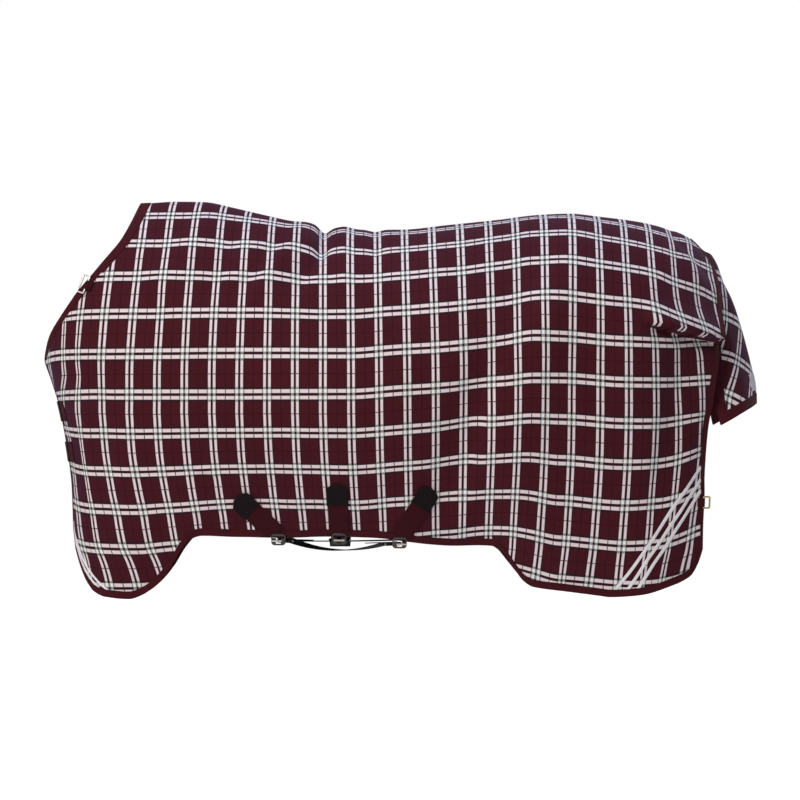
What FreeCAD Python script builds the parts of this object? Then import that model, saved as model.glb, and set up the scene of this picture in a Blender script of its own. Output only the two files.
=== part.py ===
import FreeCAD, Part
import math
import os

import Sketcher

# Fly sheet for a horse: plaid mesh rug, front opening, tail flap, three surcingles.
# Millimetres. X runs from the chest (-X) to the tail (+X), the horse's left is -Y, up is +Z.
# The origin is on the underside of the back seam, at the middle of the horse's back.

os.makedirs("parts", exist_ok=True)
doc = FreeCAD.newDocument("fly_sheet")

# ---------------------------------------------------------------- driving dimensions

dims = doc.addObject("Spreadsheet::Sheet", "dims")
DIMENSIONS = [
    ("cloth_thick", 2.0, "mesh cloth"),
    ("tape_thick", 1.2, "seam tape, edge binding, sewn patches"),
    ("web_thick", 2.2, "surcingle and chest webbing"),
    ("layer_gap", 0.3, "air between sewn layers"),
    ("neck_binding", 26.0, "neck binding seen on the outside"),
    ("edge_binding", 18.0, "front, rear and hem binding seen on the outside"),
    ("web_width", 50.8, "two-inch webbing"),
    ("chest_rounding", 400.0, "how far back the chest curve runs"),
    ("fold_gap", 0.8, "half the gap on the fold line of the front opening"),
    ("centre_gap", 2.5, "half the gap between the two fronts"),
    ("chest_strap_high", -455.0, "height of the upper chest strap"),
    ("chest_strap_low", -557.0, "height of the lower chest strap"),
    ("plate_width", 36.0, "slotted plate, across"),
    ("plate_height", 31.0, "slotted plate, down"),
    ("plate_thick", 3.0, "slotted plate"),
    ("slot_width", 30.0, "wide part of the slot"),
    ("slot_height", 6.0, "wide part of the slot"),
    ("key_width", 12.0, "narrow part of the slot"),
    ("key_height", 15.0, "narrow part of the slot"),
    ("neck_dia", 3.6, "neck of the T-hook"),
    ("hook_bar", 26.0, "length of the T-hook's head"),
    ("hook_dia", 4.4, "thickness of the T-hook's head"),
    ("strap_bar", 54.0, "crossbar the belly strap is looped on"),
    ("strap_bar_dia", 4.8, "thickness of the crossbar"),
    ("ring_long", 50.0, "neck ring, outside length"),
    ("ring_short", 21.0, "neck ring, outside width"),
    ("leg_ring_long", 32.0, "leg-strap ring, outside length"),
    ("leg_ring_short", 22.0, "leg-strap ring, outside width"),
    ("ring_wire", 4.0, "ring wire"),
    ("ring_inset", 8.0, "from the cloth's edge to the ring's bar"),
    ("tab_long", 22.0, "ring tab, along the bar"),
    ("tab_wide", 13.0, "ring tab, across the bar"),
    ("tab_high", 8.0, "ring tab"),
    ("tab_bore", 5.4, "channel for the ring's bar"),
]
for row, (alias, value, note) in enumerate(DIMENSIONS, 1):
    dims.set("A%d" % row, alias)
    dims.set("B%d" % row, str(value))
    dims.set("C%d" % row, note)
    dims.setAlias("B%d" % row, alias)
doc.recompute()


def dim(alias):
    return float(dims.get(alias))


# ---------------------------------------------------------------- outlines seen from the side

# the back seam, (x, height), withers to tail head and a little beyond
SPINE = [(-900, 60), (-655, 66), (-565, 71), (-500, 70), (-425, 56), (-360, 41), (-275, 22),
         (-190, 7), (-95, 0), (0, 0), (125, 12), (250, 25), (350, 37), (430, 40), (500, 33),
         (600, 20), (675, 2), (725, -18), (755, -42), (780, -68), (805, -98)]

# lower edge, (x, height), chest to rear corner
HEM = [(-817, -800), (-800, -852), (-785, -885), (-768, -907), (-740, -920), (-680, -925),
       (-645, -914), (-610, -887), (-575, -845), (-548, -800), (-522, -772), (-495, -764),
       (-425, -766), (-300, -768), (-200, -765), (-115, -766), (-40, -770), (20, -778),
       (105, -787), (227, -790), (252, -802), (280, -836), (312, -876), (335, -890),
       (420, -902), (500, -914), (522, -917), (597, -910), (670, -891), (722, -866),
       (742, -836), (755, -800)]

# neck edge from the withers down to the middle of the chest
NECK = [(-655, 66), (-676, 15), (-698, -28), (-724, -62), (-765, -110), (-805, -157),
        (-847, -215), (-880, -272), (-895, -327)]

# foremost line of the chest, (height, x)
CHEST = [(-930, -811), (-800, -817), (-752, -822), (-647, -826), (-582, -833), (-502, -846),
         (-435, -860), (-377, -878), (-327, -895), (-277, -904), (-155, -912), (100, -915)]

# rear edge from the tail head down to the rear corner
REAR = [(745, -33), (775, -72), (795, -115), (802, -177), (800, -270), (795, -322), (788, -370),
        (779, -432), (768, -500), (762, -582), (757, -707), (755, -800)]

# fold line of the front opening, from the neck edge to the hem
FOLD_TOP = (-765, -110)
FOLD_FOOT_X = -625

# how the horse fills the rug, by station along X
HALF_BREADTH = [(-900, 214), (-620, 209), (-500, 219), (-400, 236), (-250, 260), (-100, 277),
                (60, 288), (220, 289), (400, 280), (550, 273), (600, 265), (650, 244),
                (700, 212), (750, 174), (805, 136)]
CROWN_DEPTH = [(-655, 440), (-300, 420), (0, 400), (300, 350), (450, 310), (600, 300), (800, 280)]
CROWN_SHARPNESS = [(-655, 0.72), (-400, 0.62), (-200, 0.54), (0, 0.5), (400, 0.47), (800, 0.5)]
TUCK_UNDER = [(-700, 0.9), (-450, 1.3), (-150, 1.75), (150, 1.7), (400, 0.85), (800, 0.6)]


def profile(points):
    """Smooth curve through (a, b) points that never overshoots; level beyond its ends."""
    a = [float(p[0]) for p in points]
    b = [float(p[1]) for p in points]
    secant = [(b[i + 1] - b[i]) / (a[i + 1] - a[i]) for i in range(len(a) - 1)]
    slope = [secant[0]]
    for i in range(1, len(a) - 1):
        if secant[i - 1] * secant[i] <= 0:
            slope.append(0.0)
        else:
            slope.append(2 * secant[i - 1] * secant[i] / (secant[i - 1] + secant[i]))
    slope.append(secant[-1])

    def value(t):
        if t <= a[0]:
            return b[0]
        if t >= a[-1]:
            return b[-1]
        i = 0
        while a[i + 1] < t:
            i += 1
        h = a[i + 1] - a[i]
        s = (t - a[i]) / h
        return (b[i] * (1 + 2 * s) * (1 - s) ** 2 + slope[i] * h * s * (1 - s) ** 2
                + b[i + 1] * s * s * (3 - 2 * s) + slope[i + 1] * h * s * s * (s - 1))

    return value


spine_height = profile(SPINE)
hem_height = profile(HEM)
chest_front = profile(CHEST)
half_breadth = profile(HALF_BREADTH)
crown_depth = profile(CROWN_DEPTH)
crown_sharpness = profile(CROWN_SHARPNESS)
tuck_under = profile(TUCK_UNDER)
neck_x = profile([(-z, x) for x, z in NECK])
rear_x = profile([(-z, x) for x, z in REAR])


def breadth(x, z):
    """Half the width of the horse-shaped form at side position (x, z)."""
    depth = spine_height(x) - z
    ahead = x - chest_front(z)
    if depth <= 0 or ahead <= 0:
        return 0.0
    crown = crown_depth(x)
    t = depth / crown
    width = half_breadth(x)
    if t < 1:
        width *= (1 - (1 - t) ** 2) ** crown_sharpness(x)
    else:
        width *= 1 - tuck_under(x) * ((depth - crown) / 1000) ** 1.5
    s = ahead / dim_chest
    if s < 1:
        width *= (1 - (1 - s) ** 2) ** 0.5
    return width


dim_chest = dim("chest_rounding")

# ---------------------------------------------------------------- points on the form


def depth_share(x, z):
    """0 on the back seam, 1 on the hem line."""
    return (spine_height(x) - z) / (spine_height(x) - hem_height(x))


def edge_lookup(points):
    """x of an edge curve for a given depth share; the curve runs downwards."""
    table = []
    for x, z in points:
        share = depth_share(x, z)
        if not table or share > table[-1][0]:
            table.append((share, x))
    return profile(table)


def run(height_from, height_to, x_at, steps=60):
    out = []
    for i in range(steps + 1):
        z = height_from + (height_to - height_from) * i / steps
        out.append((x_at(z), z))
    return out


FOLD_FOOT = (FOLD_FOOT_X, hem_height(FOLD_FOOT_X))
neck_upper = run(66, FOLD_TOP[1], lambda z: neck_x(-z), 24)
neck_lower = run(FOLD_TOP[1], -327, lambda z: neck_x(-z), 24)
chest_edge = run(-327, -800, chest_front, 40)


def fold_x(z):
    """The fold line, bowed slightly forward at mid height."""
    s = (z - FOLD_TOP[1]) / (FOLD_FOOT[1] - FOLD_TOP[1])
    return FOLD_TOP[0] + (FOLD_FOOT[0] - FOLD_TOP[0]) * s


fold_edge = run(FOLD_TOP[1], FOLD_FOOT[1], fold_x, 40)
left_edge_of_side = edge_lookup(neck_upper + fold_edge[1:])
right_edge_of_side = edge_lookup(run(-33, -800, lambda z: rear_x(-z), 80))
left_edge_of_front = edge_lookup(neck_lower + chest_edge[1:])
right_edge_of_front = edge_lookup(fold_edge)
FRONT_TOP = depth_share(*FOLD_TOP) + 0.008


def ease(v):
    """Rows crowd together near the back seam, where the form turns over."""
    c = 0.15
    return (math.sqrt(v * v + c * c) - c) / (math.sqrt(1 + c * c) - c)


def ease_back(f):
    c = 0.15
    g = f * (math.sqrt(1 + c * c) - c) + c
    return math.sqrt(max(g * g - c * c, 0.0))


def side_point(u, v):
    f = ease(v)
    x = left_edge_of_side(f) * (1 - u) + right_edge_of_side(f) * u
    z = spine_height(x) + f * (hem_height(x) - spine_height(x))
    return FreeCAD.Vector(x, -breadth(x, z), z)


def front_point(u, v):
    f = FRONT_TOP + (1 - FRONT_TOP) * v
    start = left_edge_of_front(f)
    x = start + (right_edge_of_front(f) - start) * u * u
    z = spine_height(x) + f * (hem_height(x) - spine_height(x))
    return FreeCAD.Vector(x, -breadth(x, z), z)


def flank_point(x, z):
    return FreeCAD.Vector(x, -breadth(x, z), z)


def chest_point(y, z):
    """Point on the chest given its sideways position; mirrored about the middle."""
    low = chest_front(z)
    high = low + 390
    for _ in range(50):
        mid = (low + high) / 2
        if breadth(mid, z) < abs(y):
            low = mid
        else:
            high = mid
    return FreeCAD.Vector(high, y, z)


def normal_of(point, a, b, step_a, step_b, outward):
    """Unit normal of a two-parameter form, turned to agree with `outward`."""
    da = point(a + step_a, b) - point(a - step_a, b)
    db = point(a, b + step_b) - point(a, b - step_b)
    n = da.cross(db)
    n.normalize()
    if n.dot(outward) < 0:
        n = n * -1
    return n


def clamp(value, low, high):
    return max(low, min(high, value))


def side_skin(u, v, offset):
    p = side_point(u, v)
    if v < 0.004:
        along = side_point(clamp(u + 0.01, 0, 1), 0) - side_point(clamp(u - 0.01, 0, 1), 0)
        n = FreeCAD.Vector(-along.z, 0, along.x)
        n.normalize()
        return FreeCAD.Vector(p.x, 0, p.z) + n * offset
    uu = clamp(u, 0.003, 0.997)
    vv = clamp(v, 0.006, 0.994)
    n = normal_of(side_point, uu, vv, 0.003, 0.005, FreeCAD.Vector(0, -1, 0.3))
    return p + n * offset


def front_skin(u, v, offset):
    p = front_point(u, v)
    uu = clamp(u, 0.01, 0.995)
    vv = clamp(v, 0.006, 0.994)
    n = normal_of(front_point, uu, vv, 0.005, 0.005, FreeCAD.Vector(-0.7, -1, 0))
    return p + n * offset


def flank_skin(x, z, offset):
    n = normal_of(flank_point, x, z, 1.0, 1.0, FreeCAD.Vector(0, -1, 0))
    return flank_point(x, z) + n * offset


def chest_skin(y, z, offset):
    n = normal_of(chest_point, y, z, 2.0, 2.0, FreeCAD.Vector(-1, 0, 0))
    return chest_point(y, z) + n * offset


def mirrored(p):
    return FreeCAD.Vector(p.x, -p.y, p.z)


# ---------------------------------------------------------------- solids from matching grids


def grid(skin, a_values, b_values, offset, side):
    rows = []
    for a in a_values:
        row = []
        for b in b_values:
            p = skin(a, b, offset)
            row.append(mirrored(p) if side == "right" else p)
        rows.append(row)
    return rows


def surface_through(points):
    surface = Part.BSplineSurface()
    surface.interpolate(points)
    return surface


def solid_between(inner, outer):
    """Closed solid between two matching grids of points."""
    surfaces = [surface_through(inner), surface_through(outer)]
    faces = [s.toShape() for s in surfaces]
    for pick in (lambda s: s.uIso(s.bounds()[0]), lambda s: s.uIso(s.bounds()[1]),
                 lambda s: s.vIso(s.bounds()[2]), lambda s: s.vIso(s.bounds()[3])):
        low, high = (pick(s).toShape() for s in surfaces)
        faces.append(Part.makeRuledSurface(low, high))
    shell = Part.Compound(faces)
    shell.sewShape(1e-3)
    solid = Part.makeSolid(shell.Shells[0] if shell.Shells else Part.makeShell(shell.Faces))
    if solid.Volume < 0:
        solid.reverse()
    return solid


def spread(low, high, count):
    return [low + (high - low) * i / (count - 1) for i in range(count)]


nodes = []


def keep(name, shape=None, thing=None):
    """One named piece; every piece is written to its own STEP file."""
    if thing is None:
        thing = doc.addObject("Part::Feature", name)
        thing.Shape = shape
    thing.Label = name
    nodes.append(thing)
    return thing


def layer(number):
    """Inner and outer offset of each sewn layer, counted from the horse outwards."""
    gap = dim("layer_gap")
    tape = dim("tape_thick")
    base = tape + 0.2
    cloth = base + dim("cloth_thick")
    over = cloth + gap
    strap = over + tape + gap
    return {
        "tape": (-gap - 2 * tape, -gap - tape),
        "cloth": (base, cloth),
        "over": (over, over + tape),
        "binding": (over + 0.5, over + tape),
        "web_on_cloth": (over, over + dim("web_thick")),
        "strap": (strap, strap + dim("web_thick")),
    }[number]


def patch(name, skin, a_values, b_values, level, side="left"):
    low, high = layer(level)
    inner = grid(skin, a_values, b_values, low, side)
    outer = grid(skin, a_values, b_values, high, side)
    return keep(name, solid_between(inner, outer))


# ---------------------------------------------------------------- cloth panels

FOLD_V = ease_back(depth_share(*FOLD_TOP))


def side_cloth(u, v, offset):
    """The side panel stops a little behind the fold line, below the neck edge."""
    if u == 0 and v > 0:
        u = gap_share * clamp((v - FOLD_V + 0.02) / 0.02, 0, 1)
    return side_skin(u, v, offset)


gap_share = dim("fold_gap") / 1400.0
COLUMNS = (spread(0, 0.16, 15) + spread(0.16, 0.58, 17)[1:] + spread(0.58, 0.74, 13)[1:]
           + spread(0.74, 1, 15)[1:])
ROWS = spread(0, 1, 22)


def front_start(v):
    """Share of the front panel's width that leaves the middle gap free."""
    low, high = 0.0, 0.5
    first = front_point(0, v)
    for _ in range(24):
        u = (low + high) / 2
        if (front_point(u, v) - first).Length < dim("centre_gap"):
            low = u
        else:
            high = u
    return high


def front_cloth(u, v, offset):
    start = front_start(v)
    end = 1 - dim("fold_gap") / 2 / max((front_point(1, v) - front_point(0.5, v)).Length * 1.5, 20)
    return front_skin(start + (end - start) * u, v, offset)


for side in ("left", "right"):
    patch(side + "_side_panel", side_cloth, COLUMNS, ROWS, "cloth", side)
    patch(side + "_front_panel", front_cloth, spread(0, 1, 15), spread(0, 1, 20), "cloth", side)

# the left panels' own surfaces, which everything sewn to them follows


def sewn_on(points, level, skin):
    """Skin function that keeps its height above the panel surface `level` above the form."""
    surface = surface_through(points)

    def seated(a, b, offset):
        near = skin(a, b, level)
        u, v = surface.parameter(near)
        n = surface.normal(u, v)
        if n.dot(near - skin(a, b, level - 1)) < 0:
            n = n * -1
        return surface.value(u, v) + n * (offset - level)

    return seated


cloth_low, cloth_high = layer("cloth")
side_inside = grid(side_cloth, COLUMNS, ROWS, cloth_low, "left")
side_outside = grid(side_cloth, COLUMNS, ROWS, cloth_high, "left")
front_outside = grid(front_cloth, spread(0, 1, 15), spread(0, 1, 20), cloth_high, "left")


def on_side(skin):
    return sewn_on(side_outside, cloth_high, skin)


def on_front(skin):
    return sewn_on(front_outside, cloth_high, skin)


# seam tape inside the back seam, across both sides

under_side = sewn_on(side_inside, cloth_low, side_skin)


def seam_skin(u, across, offset):
    """across runs from the left (-1) to the right (+1) side of the back seam."""
    v = 0.02 * abs(across)
    p = side_skin(u, v, offset) if across == 0 else under_side(u, v, offset)
    if across > 0:
        p = mirrored(p)
    return p


patch("spine_seam_tape", seam_skin, spread(0.004, 0.996, 30), [-1, -0.6, -0.25, 0, 0.25, 0.6, 1],
      "tape")

# ---------------------------------------------------------------- edge bindings


def width_from(point, start, step, limit):
    """Parameter distance that covers `limit` millimetres, measured along the form."""
    here = point(start)
    travelled = stretch = 0.0
    t = start
    while travelled < limit:
        t += step
        there = point(t)
        stretch = (there - here).Length
        travelled += stretch
        here = there
    return abs(t - step * (travelled - limit) / stretch - start)


def neck_bind(v, across, offset):
    share = width_from(lambda t: side_point(t, v), 0.0, 0.0005, dim("neck_binding"))
    return side_skin(share * across, v, offset)


def rear_bind(v, across, offset):
    share = width_from(lambda t: side_point(t, v), 1.0, -0.0005, dim("edge_binding"))
    return side_skin(1 - share * across, v, offset)


def hem_slope(x):
    return math.hypot(1, (hem_height(x + 3) - hem_height(x - 3)) / 6)


def side_hem_bind(u, across, offset):
    wide = dim("edge_binding") * min(hem_slope(side_point(u, 1).x), 1.5)
    share = width_from(lambda t: side_point(u, t), 1.0, -0.0005, wide)
    return side_skin(u, 1 - share * across, offset)


def front_edge_bind(v, across, offset):
    start = front_start(v)
    share = width_from(lambda t: front_point(t, v), start, 0.004, dim("edge_binding"))
    return front_skin(start + share * across, v, offset)


def front_hem_bind(u, across, offset):
    wide = dim("edge_binding") * min(hem_slope(front_point(u, 1).x), 1.5)
    share = width_from(lambda t: front_point(u, t), 1.0, -0.001, wide)
    return front_skin(u, 1 - share * across, offset)


ACROSS = [0, 0.25, 0.5, 0.75, 1]
rear_inner = 1 - 1.15 * width_from(lambda t: side_point(t, 1), 1.0, -0.0005, dim("edge_binding"))
front_inner = front_start(1) + width_from(
    lambda t: front_point(t, 1), front_start(1), 0.004, dim("edge_binding") * 1.5)
hem_columns = [u for u in COLUMNS if 0.004 < u < rear_inner - 0.01]
for side in ("left", "right"):
    patch(side + "_neck_binding", on_side(neck_bind), spread(0.03, FOLD_V - 0.012, 12), ACROSS,
          "binding", side)
    patch(side + "_rear_binding", on_side(rear_bind), spread(0.05, 1, 40), ACROSS, "binding", side)
    patch(side + "_hem_binding", on_side(side_hem_bind), [0.002] + hem_columns + [rear_inner],
          ACROSS, "binding", side)
    patch(side + "_front_edge_binding", on_front(front_edge_bind), spread(0.04, 1, 40), ACROSS,
          "binding", side)
    patch(side + "_front_hem_binding", on_front(front_hem_bind), spread(front_inner, 0.992, 15),
          ACROSS, "binding", side)

# ---------------------------------------------------------------- strips sewn on the flanks


def strip(path, width):
    """Skin function for a strip that follows side positions `path`, `width` across."""

    def skin(along, across, offset):
        position = along * (len(path) - 1)
        i = int(clamp(math.floor(position), 0, len(path) - 2))
        s = position - i
        (x0, z0), (x1, z1) = path[i], path[i + 1]
        dx, dz = x1 - x0, z1 - z0
        length = math.hypot(dx, dz)
        x = x0 + dx * s - dz / length * width * across / 2
        z = z0 + dz * s + dx / length * width * across / 2
        return flank_skin(x, z, offset)

    return skin


# three white tapes run side by side across each lower corner, as one strip
REAR_TAPE = [(716, -664), (583, -853)]
REAR_TAPE_WIDE = 52.0
FRONT_TAPE_NEAR = 22.0
FRONT_TAPE_V = (0.88, 0.955)
RUMP_DART = [(620, -245), (740, -272)]
DART_WIDE = 9.0


def front_tape(v, across, offset):
    """Tapes that start beside the edge binding and slant back to the front hem."""
    slant = (v - FRONT_TAPE_V[0]) / (FRONT_TAPE_V[1] - FRONT_TAPE_V[0])
    beside = FRONT_TAPE_NEAR + 33 * slant + (24 + 16 * slant) * across
    start = front_start(v)
    return front_skin(start + width_from(lambda t: front_point(t, v), start, 0.002, beside), v,
                      offset)


for side in ("left", "right"):
    patch(side + "_rear_corner_tapes", on_side(strip(REAR_TAPE, REAR_TAPE_WIDE)),
          spread(0, 1, 12), [-1, -0.5, 0, 0.5, 1], "over", side)
    patch(side + "_front_corner_tapes", on_front(front_tape), spread(*FRONT_TAPE_V, 9),
          [0, 0.5, 1], "over", side)
    patch(side + "_rump_dart", on_side(strip(RUMP_DART, DART_WIDE)), spread(0, 1, 9), [-1, 0, 1],
          "over", side)

# ---------------------------------------------------------------- surcingles

# head of the sewn patch, and the foot of the strap on the hem
SURCINGLES = {
    "front": {"head": (-400, -672), "foot": (-303, -764)},
    "middle": {"head": (-156, -640), "foot": (-151, -763)},
    "rear": {"head": (75, -655), "foot": (-1, -768)},
}
PATCH_LONG = 46.0
STRAP_SHORT = 21.0


def on_line(start, end, distance):
    length = math.hypot(end[0] - start[0], end[1] - start[1])
    s = distance / length
    return (start[0] + (end[0] - start[0]) * s, start[1] + (end[1] - start[1]) * s)


for place, line in SURCINGLES.items():
    head, foot = line["head"], line["foot"]
    length = math.hypot(foot[0] - head[0], foot[1] - head[1])
    patch_end = on_line(head, foot, PATCH_LONG)
    strap_start = on_line(head, foot, 8)
    strap_end = on_line(head, foot, length - STRAP_SHORT)
    across = [-1, -0.5, 0, 0.5, 1]
    patch("left_%s_patch" % place, on_side(strip([head, patch_end], dim("web_width") + 4)),
          spread(0, 1, 5), across, "over")
    patch("left_%s_strap" % place, on_side(strip([strap_start, strap_end], dim("web_width"))),
          spread(0, 1, 7), across, "strap")
    patch("right_%s_strap" % place, on_side(strip([head, foot], dim("web_width"))),
          spread(0, 1, 8), across, "strap", "right")

# ---------------------------------------------------------------- slotted plates and T-hooks


def frame_at(origin, across, normal):
    """Placement whose X runs across, whose Z is the outward normal."""
    z = FreeCAD.Vector(normal)
    z.normalize()
    x = FreeCAD.Vector(across) - z * across.dot(z)
    x.normalize()
    y = z.cross(x)
    matrix = FreeCAD.Matrix(x.x, y.x, z.x, origin.x, x.y, y.y, z.y, origin.y,
                            x.z, y.z, z.z, origin.z, 0, 0, 0, 1)
    return FreeCAD.Placement(matrix)


def origin_plane(body, role):
    return [f for f in body.Origin.OriginFeatures if f.Role == role][0]


def rounded_rectangle(sketch, width, height, radius, cx=0.0, cy=0.0):
    """Closed outline with rounded corners; returns the index of its first line."""
    first = sketch.GeometryCount
    w, h, r = width / 2, height / 2, radius
    corner = FreeCAD.Vector
    sides = [((-w + r, -h), (w - r, -h)), ((w, -h + r), (w, h - r)),
             ((w - r, h), (-w + r, h)), ((-w, h - r), (-w, -h + r))]
    arcs = [((w - r, -h + r), -90), ((w - r, h - r), 0), ((-w + r, h - r), 90),
            ((-w + r, -h + r), 180)]
    for (start, end), (centre, angle) in zip(sides, arcs):
        sketch.addGeometry(Part.LineSegment(corner(cx + start[0], cy + start[1], 0),
                                            corner(cx + end[0], cy + end[1], 0)), False)
        circle = Part.Circle(corner(cx + centre[0], cy + centre[1], 0), corner(0, 0, 1), r)
        sketch.addGeometry(Part.ArcOfCircle(circle, math.radians(angle),
                                            math.radians(angle + 90)), False)
    for i in range(4):
        line, arc, following = first + 2 * i, first + 2 * i + 1, first + (2 * i + 2) % 8
        sketch.addConstraint(Sketcher.Constraint("Tangent", line, 2, arc, 1))
        sketch.addConstraint(Sketcher.Constraint("Tangent", arc, 2, following, 1))
    sketch.addConstraint(Sketcher.Constraint("Horizontal", first))
    sketch.addConstraint(Sketcher.Constraint("Horizontal", first + 4))
    sketch.addConstraint(Sketcher.Constraint("Vertical", first + 2))
    sketch.addConstraint(Sketcher.Constraint("Vertical", first + 6))
    return first


def drive(sketch, kind, geometry, alias, value, extra=None):
    """A sketch constraint whose value follows a dimension of the sheet."""
    if extra is None:
        number = sketch.addConstraint(Sketcher.Constraint(kind, geometry, value))
    else:
        number = sketch.addConstraint(Sketcher.Constraint(kind, *geometry, *extra, value))
    sketch.setExpression("Constraints[%d]" % number, alias)
    return number


def centred(sketch, first, cx=0.0, cy=0.0):
    """Hold an outline's left and lower sides at their distance from the sketch origin."""
    low = sketch.Geometry[first].StartPoint
    left = sketch.Geometry[first + 6].StartPoint
    sketch.addConstraint(Sketcher.Constraint("DistanceY", -1, 1, first, 1, low.y))
    sketch.addConstraint(Sketcher.Constraint("DistanceX", -1, 1, first + 6, 1, left.x))


def slotted_plate(name, placement):
    body = doc.addObject("PartDesign::Body", name)
    outline = body.newObject("Sketcher::SketchObject", name + "_outline")
    outline.AttachmentSupport = [(origin_plane(body, "XY_Plane"), "")]
    outline.MapMode = "FlatFace"
    rounded_rectangle(outline, dim("plate_width"), dim("plate_height"), 9)
    pad = body.newObject("PartDesign::Pad", name + "_pad")
    pad.Profile = outline
    pad.setExpression("Length", "dims.plate_thick")
    doc.recompute()
    cut = body.newObject("Sketcher::SketchObject", name + "_slot")
    cut.AttachmentSupport = [(origin_plane(body, "XY_Plane"), "")]
    cut.MapMode = "FlatFace"
    wide, tall = dim("slot_width") / 2, dim("slot_height")
    key, deep = dim("key_width") / 2, dim("key_height")
    top = 9.0
    corners = [(-wide, top), (-wide, top - tall), (-key, top - tall), (-key, top - tall - deep),
               (key, top - tall - deep), (key, top - tall), (wide, top - tall), (wide, top)]
    for i, (x, y) in enumerate(corners):
        nx, ny = corners[(i + 1) % len(corners)]
        cut.addGeometry(Part.LineSegment(FreeCAD.Vector(x, y, 0), FreeCAD.Vector(nx, ny, 0)),
                        False)
    for i in range(len(corners)):
        cut.addConstraint(Sketcher.Constraint("Coincident", i, 2, (i + 1) % len(corners), 1))
        kind = "Vertical" if i % 2 == 0 else "Horizontal"
        cut.addConstraint(Sketcher.Constraint(kind, i))
    pocket = body.newObject("PartDesign::Pocket", name + "_pocket")
    pocket.Profile = cut
    pocket.Type = 1
    pocket.Midplane = True
    doc.recompute()
    body.Placement = placement
    return keep(name, thing=body)


def rod(name, alias_dia, placement, alias_length=None, length=0.0):
    """Round bar lying along its local Z, centred on its origin."""
    bar = doc.addObject("Part::Cylinder", name)
    bar.setExpression("Radius", "dims.%s / 2" % alias_dia)
    if alias_length:
        bar.setExpression("Height", "dims.%s" % alias_length)
    else:
        bar.Height = length
    doc.recompute()
    half = float(bar.Height) / 2
    bar.Placement = placement.multiply(
        FreeCAD.Placement(FreeCAD.Vector(0, 0, -half), FreeCAD.Rotation()))
    return bar


def turned(origin, direction):
    return FreeCAD.Placement(origin, FreeCAD.Rotation(FreeCAD.Vector(0, 0, 1), direction))


HOOK_DROP = 9.0
HOOK_REACH = 24.0
PLATE_STANDOFF = 0.7
BELLY_END = {"front": "rear", "middle": "middle", "rear": "front"}
BELLY_SAG = {"front": 1.5, "middle": 20.5, "rear": 24.5}
swing_axes = {}

for place, line in SURCINGLES.items():
    foot = line["foot"]
    hem = hem_height(foot[0])
    slot_z = hem - HOOK_DROP
    strap_low, strap_high = layer("strap")
    plate_level = (strap_low + strap_high) / 2 + PLATE_STANDOFF
    middle = flank_skin(foot[0], slot_z, plate_level)
    normal = flank_skin(foot[0], slot_z, 10) - flank_skin(foot[0], slot_z, 0)
    normal.normalize()
    plate_frame = frame_at(middle, FreeCAD.Vector(1, 0, 0), normal)
    # the neck of the hook sits in the narrow part of the slot
    lift = FreeCAD.Placement(FreeCAD.Vector(0, 4.5, -dim("plate_thick") / 2), FreeCAD.Rotation())
    slotted_plate("slotted_plate_" + place, plate_frame.multiply(lift))

    far_foot = SURCINGLES[BELLY_END[place]]["foot"]
    far_hem = hem_height(far_foot[0])
    far = mirrored(flank_skin(far_foot[0], far_hem - HOOK_DROP, plate_level))
    chord = far - middle
    chord.normalize()
    level = FreeCAD.Vector(chord.y, -chord.x, 0)
    level.normalize()
    swing_axes[place] = (middle, chord)

    head_distance = dim("plate_thick") / 2 + 1.8 + dim("hook_dia") / 2
    out = head_distance / abs(chord.dot(normal))
    neck_mid = middle + chord * ((HOOK_REACH - out) / 2)
    neck = rod("hook_neck_" + place, "neck_dia", turned(neck_mid, chord),
               length=out + HOOK_REACH)
    head = rod("hook_head_" + place, "hook_dia",
               turned(middle - chord * out, FreeCAD.Vector(1, 0, 0)), "hook_bar")
    crossbar = rod("hook_crossbar_" + place, "strap_bar_dia",
                   turned(middle + chord * HOOK_REACH, level), "strap_bar")
    hook = doc.addObject("Part::MultiFuse", "t_hook_" + place)
    hook.Shapes = [neck, head, crossbar]
    keep("t_hook_" + place, thing=hook)

    sag = BELLY_SAG[place]
    start = middle + chord * (HOOK_REACH + dim("strap_bar_dia") / 2 + 0.3)
    end = far - chord * 12.0
    reach = end - start
    half = dim("web_width") / 2
    thick = dim("web_thick") / 2

    def belly(along, across, offset, start=start, reach=reach, level=level, sag=sag, half=half):
        bow = 4 * along * (1 - along)
        drop = FreeCAD.Vector(0, 0, offset - sag * bow)
        return start + reach * along + level * (half * across) + drop

    inner = grid(belly, spread(0, 1, 13), [-1, 0, 1], -thick, "left")
    outer = grid(belly, spread(0, 1, 13), [-1, 0, 1], thick, "left")
    keep("belly_strap_" + place, solid_between(inner, outer))

# ---------------------------------------------------------------- chest straps

half_web = dim("web_width") / 2
for place, height in (("upper", dim("chest_strap_high")), ("lower", dim("chest_strap_low"))):
    tall = spread(height - half_web, height + half_web, 5)
    patch("chest_strap_base_" + place, chest_skin, spread(-58, -36, 5), tall, "web_on_cloth")
    patch("chest_strap_" + place, chest_skin, spread(-32, 128, 23), tall, "strap")
    patch("chest_pad_" + place, chest_skin, spread(70, 136, 9), tall, "over")

# ---------------------------------------------------------------- tail flap

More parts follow.
